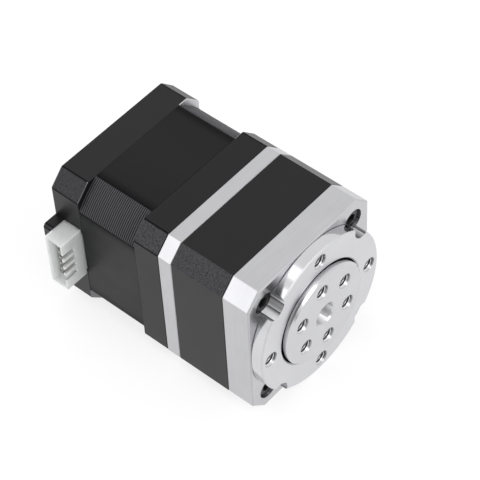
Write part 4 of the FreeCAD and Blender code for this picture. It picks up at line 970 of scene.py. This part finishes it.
@dataclass
class GearHead(SubAssembly):
    """The gear's fixed side: ring, square plates, housing, and the long corner screws.

    Attributes:
        thread: threads of the ring's mounting holes.
        screw: the corner screws.
        bead_mm: width of the small fillet where the ring stands on the plate.
        bead_from_deg: where the fillet starts, measured from the frame's corner.
        bead_to_deg: where it ends.
        bead_steps: points along one stretch of it.
        bead_sides: points round it.
    """

    body: str = "housing"
    thread: Thread = Thread("frame_bolts", 0.0, 0.005, 3.05)
    screw: CapScrew = CapScrew("corner_screws", Side.FRONT, 3.0, 0.0, 1.6, 30, 0.07)
    bead_mm: float = 0.3
    bead_from_deg: float = 7.6
    bead_to_deg: float = 33.0
    bead_steps: int = 40
    bead_sides: int = 4
    finishes: dict[str, Finish] = field(default_factory=lambda: {
        "front_ring": TURNED_ALUMINIUM, "front_plate": MILLED_ALUMINIUM, "adapter_plate": MILLED_ALUMINIUM,
        "gear_housing": BLACK_ANODISED, "corner_screws": BLACK_OXIDE, "ring_screws": BLACK_OXIDE,
        "output_bearing_outer": GROUND_STEEL, "output_seal": NITRILE, "shaft_seal": NITRILE,
        "circular_spline": GEAR_STEEL, "spline_dowels": GROUND_STEEL,
    })

    def fillet(self) -> bpy.types.Object:
        """Make the small fillet between ring and plate, left and right of every corner.

        A square on its corner is carried along an arc at the ring's wall, so that one of its sides is the
        fillet. Its size is multiplied by the fourth root of sin(share of the arc), so that both ends run out
        into a point.

        Returns:
            One piece with eight stretches.
        """
        wall, seam, _ = box_mm("front_ring")[1]
        share = np.linspace(0, 1, self.bead_steps)
        away = np.radians(self.bead_from_deg + (self.bead_to_deg - self.bead_from_deg) * share)
        corner = np.radians([45, 135, 225, 315])
        along = np.concatenate([corner[:, None] + away, corner[:, None] - away])[:, :, None]
        swell = self.bead_mm * np.sin(math.pi * share).clip(0, 1) ** 0.25
        round_it = np.arange(self.bead_sides) * TURN / self.bead_sides
        radius = wall + swell[:, None] * np.cos(round_it)
        depth = seam + swell[:, None] * np.sin(round_it)
        points = np.stack([radius * np.cos(along), np.broadcast_to(depth, (len(along), *depth.shape)),
                           radius * np.sin(along)], axis=-1)
        return surface("ring_fillet", points * MM, (False, True), crease_deg=60.0)

    def build(self) -> None:
        """Dress the nodes and add threads, fillet and screws."""
        self.dress()
        self.install(self.thread.build("ring_threads"), "machined_aluminium", TAPPED_ALUMINIUM)
        self.install(self.fillet(), "machined_aluminium", HIGHLIGHT_EDGE)
        self.install(self.screw.build("corner_cap_screws"), "black_screws", BLACK_OXIDE, self.screw.node)


@dataclass
class OutputStage(SubAssembly):
    """The gear's slow side: the disc with its tapped holes, the crossed rollers and the flexspline.

    Attributes:
        thread: threads of the disc's holes.
    """

    body: str = "output"
    thread: Thread = Thread("output_bolts", 96.3, -1.345, 3.6)
    finishes: dict[str, Finish] = field(default_factory=lambda: {
        "output_flange": TURNED_DISC, "output_bearing_inner": GROUND_STEEL,
        "output_bearing_rollers": GROUND_STEEL, "bearing_retainer": GEAR_STEEL, "flexspline": GEAR_STEEL,
        "clamp_ring": GEAR_STEEL, "clamp_screws": BLACK_OXIDE,
    })

    def build(self) -> None:
        """Dress the nodes and add the threads."""
        self.dress()
        self.install(self.thread.build("disc_threads"), "machined_aluminium", TAPPED_ALUMINIUM)


@dataclass
class Rotor(SubAssembly):
    """The motor's turning parts, with the wave generator on the end of the shaft."""

    body: str = "rotor"
    finishes: dict[str, Finish] = field(default_factory=lambda: {
        "motor_shaft": GROUND_STEEL, "rotor_core_front": ROTOR_SHEETS, "rotor_core_rear": ROTOR_SHEETS,
        "rotor_magnet": MAGNET_PLATE, "front_bearing_inner": GROUND_STEEL, "front_bearing_balls": GROUND_STEEL,
        "rear_bearing_inner": GROUND_STEEL, "rear_bearing_balls": GROUND_STEEL, "wave_generator": GEAR_STEEL,
        "set_screws": BLACK_OXIDE, "flex_bearing_inner": GROUND_STEEL, "flex_bearing_balls": GROUND_STEEL,
        "flex_bearing_outer": GROUND_STEEL,
    })

    def build(self) -> None:
        """Dress the nodes."""
        self.dress()


@dataclass
class Motor(SubAssembly):
    """The motor's fixed side: two caps, the stack of sheets between them, the coils and the tie screws.

    Attributes:
        screw: the tie screws in the back.
        sheet_mm: thickness of one sheet, somewhat thicker than the real 0.5 so that the sheets show.
        seam_share: share of a sheet that its seam takes.
        flank_share: share of a sheet that each flank of the seam takes.
        flat_groove_mm: depth of a seam on the flat sides.
        corner_groove_mm: depth of a seam round the corners.
        proud_mm: height of the sheets' edges over the plain solid.
        inside_mm: how far the skin reaches into the solid.
        corner_mm: radius of the round corners about the axis.
        blend_mm: how near the flat's radius and the corner's are where one runs into the other.
        run_deg: width of the matt runs of paint beside the corners.
        near_deg: angles on both sides of a flat's end at which the skin has points.
    """

    body: str = "housing"
    screw: CapScrew = CapScrew("tie_screws", Side.REAR, 1.9, 0.45, 0.9, 0, 0.0)
    sheet_mm: float = 0.56
    seam_share: float = 0.5
    flank_share: float = 0.1
    flat_groove_mm: float = 0.004
    corner_groove_mm: float = 0.1
    proud_mm: float = 0.12
    inside_mm: float = 0.3
    corner_mm: float = 25.4
    blend_mm: float = 0.45
    run_deg: float = 6.0
    near_deg: tuple[float, ...] = (0.2, 0.5, 0.8, 1.1, 1.5, 2.0, 3.0, 5.0)
    finishes: dict[str, Finish] = field(default_factory=lambda: {
        "motor_front_cap": FRONT_PAINT, "motor_rear_cap": REAR_PAINT, "stator_stack": PAINTED_SHEETS,
        "tie_screws": ZINC_PLATE, "front_bearing_outer": GROUND_STEEL, "rear_bearing_outer": GROUND_STEEL,
        "wave_washer": GROUND_STEEL, "front_bobbin": BOBBIN_NYLON, "rear_bobbin": BOBBIN_NYLON,
        "windings": COPPER_WIRE, "connection_board": BOARD,
    })

    def sheets(self) -> bpy.types.Object:
        """Make the stack's skin as a square tube with round corners and a seam at every sheet.

        Round the axis the radius is the smaller of the flat side's, half / max(|cos|, |sin|), and the
        corner circle's. Where the two are nearer than the blend, it is less by (blend - their
        difference)^2 / (4 blend), which rounds the edge. Along the axis it dips by the groove's depth at
        every seam.

        Returns:
            The skin over the plain stack, whose crest attribute is one on the corners' sheets and falls to
            minus one in the runs of paint beside them.
        """
        low, high = box_mm("stator_stack")
        half = high[0]
        flat_end = math.acos(half / self.corner_mm)
        after = np.radians(self.near_deg)
        near = np.concatenate([-after[::-1], after])
        quarter = np.concatenate([[0.0], flat_end + near, [math.pi / 4], math.pi / 2 - flat_end + near])
        angle = (np.arange(4)[:, None] * math.pi / 2 + quarter).ravel()
        flat = half / np.maximum(np.abs(np.cos(angle)), np.abs(np.sin(angle)))
        gap = (self.blend_mm - np.abs(flat - self.corner_mm)).clip(0)
        reach = np.minimum(flat, self.corner_mm) - gap ** 2 / (4 * self.blend_mm)
        on_corner = flat > self.corner_mm
        groove = np.where(on_corner, self.corner_groove_mm, self.flat_groove_mm)
        count = round((high[1] - low[1]) / self.sheet_mm)
        edges = np.linspace(low[1], high[1], count + 1)
        seam, flank = self.seam_share, self.flank_share
        offsets = (edges[1] - edges[0]) * np.array([0, seam - flank, seam, 1 - flank])
        depth = np.append((edges[:-1, None] + offsets).ravel(), edges[-1])
        dip = np.append(np.tile([1.0, 1.0, 0.0, 0.0], count), 1.0)
        radius = np.vstack([reach + self.proud_mm - dip[:, None] * groove,
                            np.broadcast_to(reach - self.inside_mm, (2, len(angle)))])
        beside = np.abs(np.abs(angle % (math.pi / 2) - math.pi / 4) - (math.pi / 4 - flat_end))
        run = np.where(on_corner, 0, 1 - beside / math.radians(self.run_deg)).clip(0)
        crest = np.vstack([(1 - dip[:, None]) * on_corner - run, np.zeros((2, len(angle)))])
        depth = np.concatenate([depth, depth[-1:], depth[:1]])
        x, z = radius * np.cos(angle), radius * np.sin(angle)
        points = np.stack([x, np.broadcast_to(depth[:, None], x.shape), z], axis=-1) * MM
        return surface("stator_sheets", points[None], (True, True), crease_deg=40.0, crest=crest)

    def build(self) -> None:
        """Dress the nodes and add the sheets and the tie screws."""
        self.dress()
        self.install(self.sheets(), "black_laminations", PAINTED_SHEETS)
        self.install(self.screw.build("rear_tie_screws"), "plated_screws", ZINC_PLATE, self.screw.node)


@dataclass
class Connector(SubAssembly):
    """Moulded header on the motor's side, with its pins.

    Attributes:
        edge_mm: radius of its moulded edges.
        segments: steps in that radius.
        weld: distance in metres under which the solid's points are one.
        flat_rad: angle under which the solid's triangles are one flat face.
        crease_deg: edges sharper than this stay sharp.
    """

    body: str = "housing"
    edge_mm: float = 0.18
    segments: int = 3
    weld: float = 1e-6
    flat_rad: float = 0.01
    crease_deg: float = 40.0
    finishes: dict[str, Finish] = field(default_factory=lambda: {
        "connector_header": NYLON, "connector_contacts": TIN_PLATE,
    })

    def shell(self) -> bpy.types.Object:
        """Make a merged copy of the header's solid, with a bevel that rounds every moulded edge.

        Returns:
            The rounded header.
        """
        node = frame["nodes"]["connector_header"].data
        mesh = bpy.data.meshes.new("connector_shell")
        points, triangles = np.empty(len(node.vertices) * 3), np.empty(len(node.loops), dtype=int)
        node.vertices.foreach_get("co", points)
        node.loops.foreach_get("vertex_index", triangles)
        mesh.from_pydata(points.reshape(-1, 3), [], triangles.reshape(-1, 3))
        work = bmesh.new()
        work.from_mesh(mesh)
        bmesh.ops.remove_doubles(work, verts=work.verts, dist=self.weld)
        bmesh.ops.dissolve_limit(work, angle_limit=self.flat_rad, verts=work.verts, edges=work.edges)
        work.to_mesh(mesh)
        work.free()
        piece = finished("connector_shell", mesh, self.crease_deg)
        bevel = piece.modifiers.new("moulded_edges", "BEVEL")
        bevel.width = self.edge_mm * MM
        bevel.segments = self.segments
        bevel.limit_method = "ANGLE"
        return piece

    def build(self) -> None:
        """Dress the nodes and show the rounded header."""
        self.dress()
        self.install(self.shell(), "white_nylon", NYLON, "connector_header")


@dataclass(frozen=True)
class SoftBox:
    """A square studio lamp.

    Attributes:
        name: its name.
        way: direction from the object.
        distance: distance from the object in metres.
        side: side length in metres.
        level: brightness that it adds to the tent behind it, where one is white.
        watts: power for each square metre at a level of one.
    """

    name: str
    way: tuple[float, float, float]
    distance: float
    side: float
    level: float
    watts: float = 4.0

    def build(self, target: Vector) -> None:
        """Hang the lamp so that it looks at the object.

        Args:
            target: the point that it looks at.
        """
        lamp = bpy.data.lights.new(self.name, "AREA")
        lamp.shape = "SQUARE"
        lamp.size = self.side
        lamp.energy = self.level * self.watts * self.side ** 2
        holder = bpy.data.objects.new(self.name, lamp)
        way = Vector(self.way).normalized()
        holder.matrix_world = Matrix.Translation(target + way * self.distance) @ (
            (-way).to_track_quat("-Z", "Y").to_matrix().to_4x4())
        holder.visible_camera = False
        bpy.context.scene.collection.objects.link(holder)


@dataclass
class Studio:
    """White floor, white light tent with a dark slit for the camera, soft lamps, and the camera itself.

    Attributes:
        azimuth_deg: camera's angle round the object, zero looking along +y.
        elevation_deg: camera's height above the horizon.
        roll_deg: camera's roll.
        target_mm: the point in the middle of the picture.
        distance_mm: camera to that point.
        lens_mm: focal length on the sensor.
        sensor_mm: sensor width.
        clip: nearest and farthest distance that the camera shows, in metres.
        floor_half: half the floor's side in metres.
        floor_lit: sRGB hex of the floor that throws light back on the object.
        floor_seen: sRGB hex of the floor as the eye and reflections have it, under its own glow.
        floor_glow: share of the floor's white that doesn't take a shadow.
        tent: brightness of the tent.
        slit_way: direction of the tent's slit, seen from above.
        slit_deg: angles from that direction at which the slit is dark, and at which the tent is white.
        slit_top: heights, as sines, up to which the slit is dark, and from which the tent is white.
        slit_level: brightness of the slit.
        lamps: the lamps.
    """

    azimuth_deg: float = -46.75
    elevation_deg: float = 49.60
    roll_deg: float = -3.48
    target_mm: tuple[float, float, float] = (3.40, 27.19, 2.05)
    distance_mm: float = 461.1
    lens_mm: float = 147.23
    sensor_mm: float = 36.0
    clip: tuple[float, float] = (0.01, 100.0)
    floor_half: float = 6.0
    floor_lit: str = "#E6E6E6"
    floor_seen: str = "#8A8A8A"
    floor_glow: float = 0.76
    tent: float = 1.0
    slit_way: tuple[float, float, float] = (-0.755, -0.656, 0.0)
    slit_deg: tuple[float, float] = (17.0, 23.0)
    slit_top: tuple[float, float] = (0.74, 0.82)
    slit_level: float = 0.04
    lamps: tuple[SoftBox, ...] = (
        SoftBox("left_box", (-0.70, 0.44, 0.56), 1.2, 0.75, 0.85),
        SoftBox("top_strip", (-0.16, 0.44, 0.88), 1.2, 0.3, 0.9),
        SoftBox("over_box", (-0.08, -0.44, 0.89), 1.2, 0.7, 0.6),
        SoftBox("front_box", (-0.06, -0.885, 0.46), 1.2, 0.45, 4.0),
    )

    def build_camera(self) -> None:
        """Set the camera at the viewing angle, looking at its target."""
        azimuth, elevation = math.radians(self.azimuth_deg), math.radians(self.elevation_deg)
        back = Vector((math.sin(azimuth) * math.cos(elevation), -math.cos(azimuth) * math.cos(elevation),
                       math.sin(elevation)))
        lens = bpy.data.cameras.new("camera")
        lens.lens, lens.sensor_width = self.lens_mm, self.sensor_mm
        lens.clip_start, lens.clip_end = self.clip
        camera = bpy.data.objects.new("camera", lens)
        level = (-back).to_track_quat("-Z", "Y").to_matrix().to_4x4()
        place = Vector(self.target_mm) * MM + back * self.distance_mm * MM
        roll = Matrix.Rotation(math.radians(self.roll_deg), 4, "Z")
        camera.matrix_world = Matrix.Translation(place) @ level @ roll
        bpy.context.scene.collection.objects.link(camera)
        bpy.context.scene.camera = camera

    def build_floor(self) -> None:
        """Lay the floor under the object: white to the eye and in reflections, with a soft shadow."""
        span = np.array([-self.floor_half, self.floor_half])
        x, y = np.meshgrid(span, span)
        level = np.full_like(x, CAD_BOX[0].z)
        mesh = bpy.data.meshes.new("floor")
        mesh.from_pydata(np.stack([x, y, level], axis=-1).reshape(-1, 3), [], [(0, 1, 3, 2)])
        floor = bpy.data.objects.new("floor", mesh)
        bpy.context.scene.collection.objects.link(floor)
        material = bpy.data.materials.new("White floor")
        material.use_nodes = True
        material.cycles.emission_sampling = "NONE"
        graph, nodes = Graph(material.node_tree), material.node_tree.nodes
        nodes.remove(nodes["Principled BSDF"])
        path = graph.add("LightPath").outputs
        mirrored = graph.add("Math", path["Is Glossy Ray"], path["Is Transmission Ray"], operation="MAXIMUM")
        seen = graph.add("Math", path["Is Camera Ray"], mirrored, operation="MAXIMUM")
        grey = graph.add("Mix", seen, linear(self.floor_lit), linear(self.floor_seen), data_type="RGBA")
        glow = graph.add("Math", seen, self.floor_glow, operation="MULTIPLY")
        matt, light = graph.add("BsdfDiffuse", grey), graph.add("Emission", WHITE, glow)
        graph.link(graph.add("AddShader", matt, light), nodes["Material Output"].inputs["Surface"])
        mesh.materials.append(material)

    def build_tent(self) -> None:
        """Hang the white tent all round, with a slit that only light from the object sees as dark."""
        world = bpy.data.worlds.new("tent")
        world.use_nodes = True
        graph = Graph(world.node_tree)
        ray = graph.add("TexCoord").outputs["Generated"]
        flat = graph.add("VectorMath", ray, LEVEL, operation="MULTIPLY")
        around = graph.add("VectorMath", flat, operation="NORMALIZE")
        near = graph.add("VectorMath", around, self.slit_way, operation="DOT_PRODUCT")
        dark, white = (math.cos(math.radians(angle)) for angle in self.slit_deg)
        side = graph.add("MapRange", near, white, dark, self.tent, self.slit_level,
                         interpolation_type="SMOOTHSTEP")
        height = graph.add("SeparateXYZ", ray).outputs["Z"]
        over = graph.add("MapRange", height, *self.slit_top, side, self.tent, interpolation_type="SMOOTHSTEP")
        camera = graph.add("LightPath").outputs["Is Camera Ray"]
        background = world.node_tree.nodes["Background"].inputs
        graph.link(graph.add("Math", camera, over, operation="MAXIMUM"), background["Strength"])
        graph.link(WHITE, background["Color"])
        bpy.context.scene.world = world

    def build(self) -> None:
        """Set up the whole studio."""
        self.build_camera()
        self.build_floor()
        self.build_tent()
        for lamp in self.lamps:
            lamp.build(Vector(self.target_mm) * MM)
        bpy.context.scene.view_settings.view_transform = "Standard"


def main() -> None:
    """Build every sub-assembly in order."""
    logging.basicConfig(level=logging.INFO)
    Studio().build()
    for assembly in (GearHead(), OutputStage(), Rotor(), Motor(), Connector()):
        assembly.build()


if __name__ == "__main__":
    main()
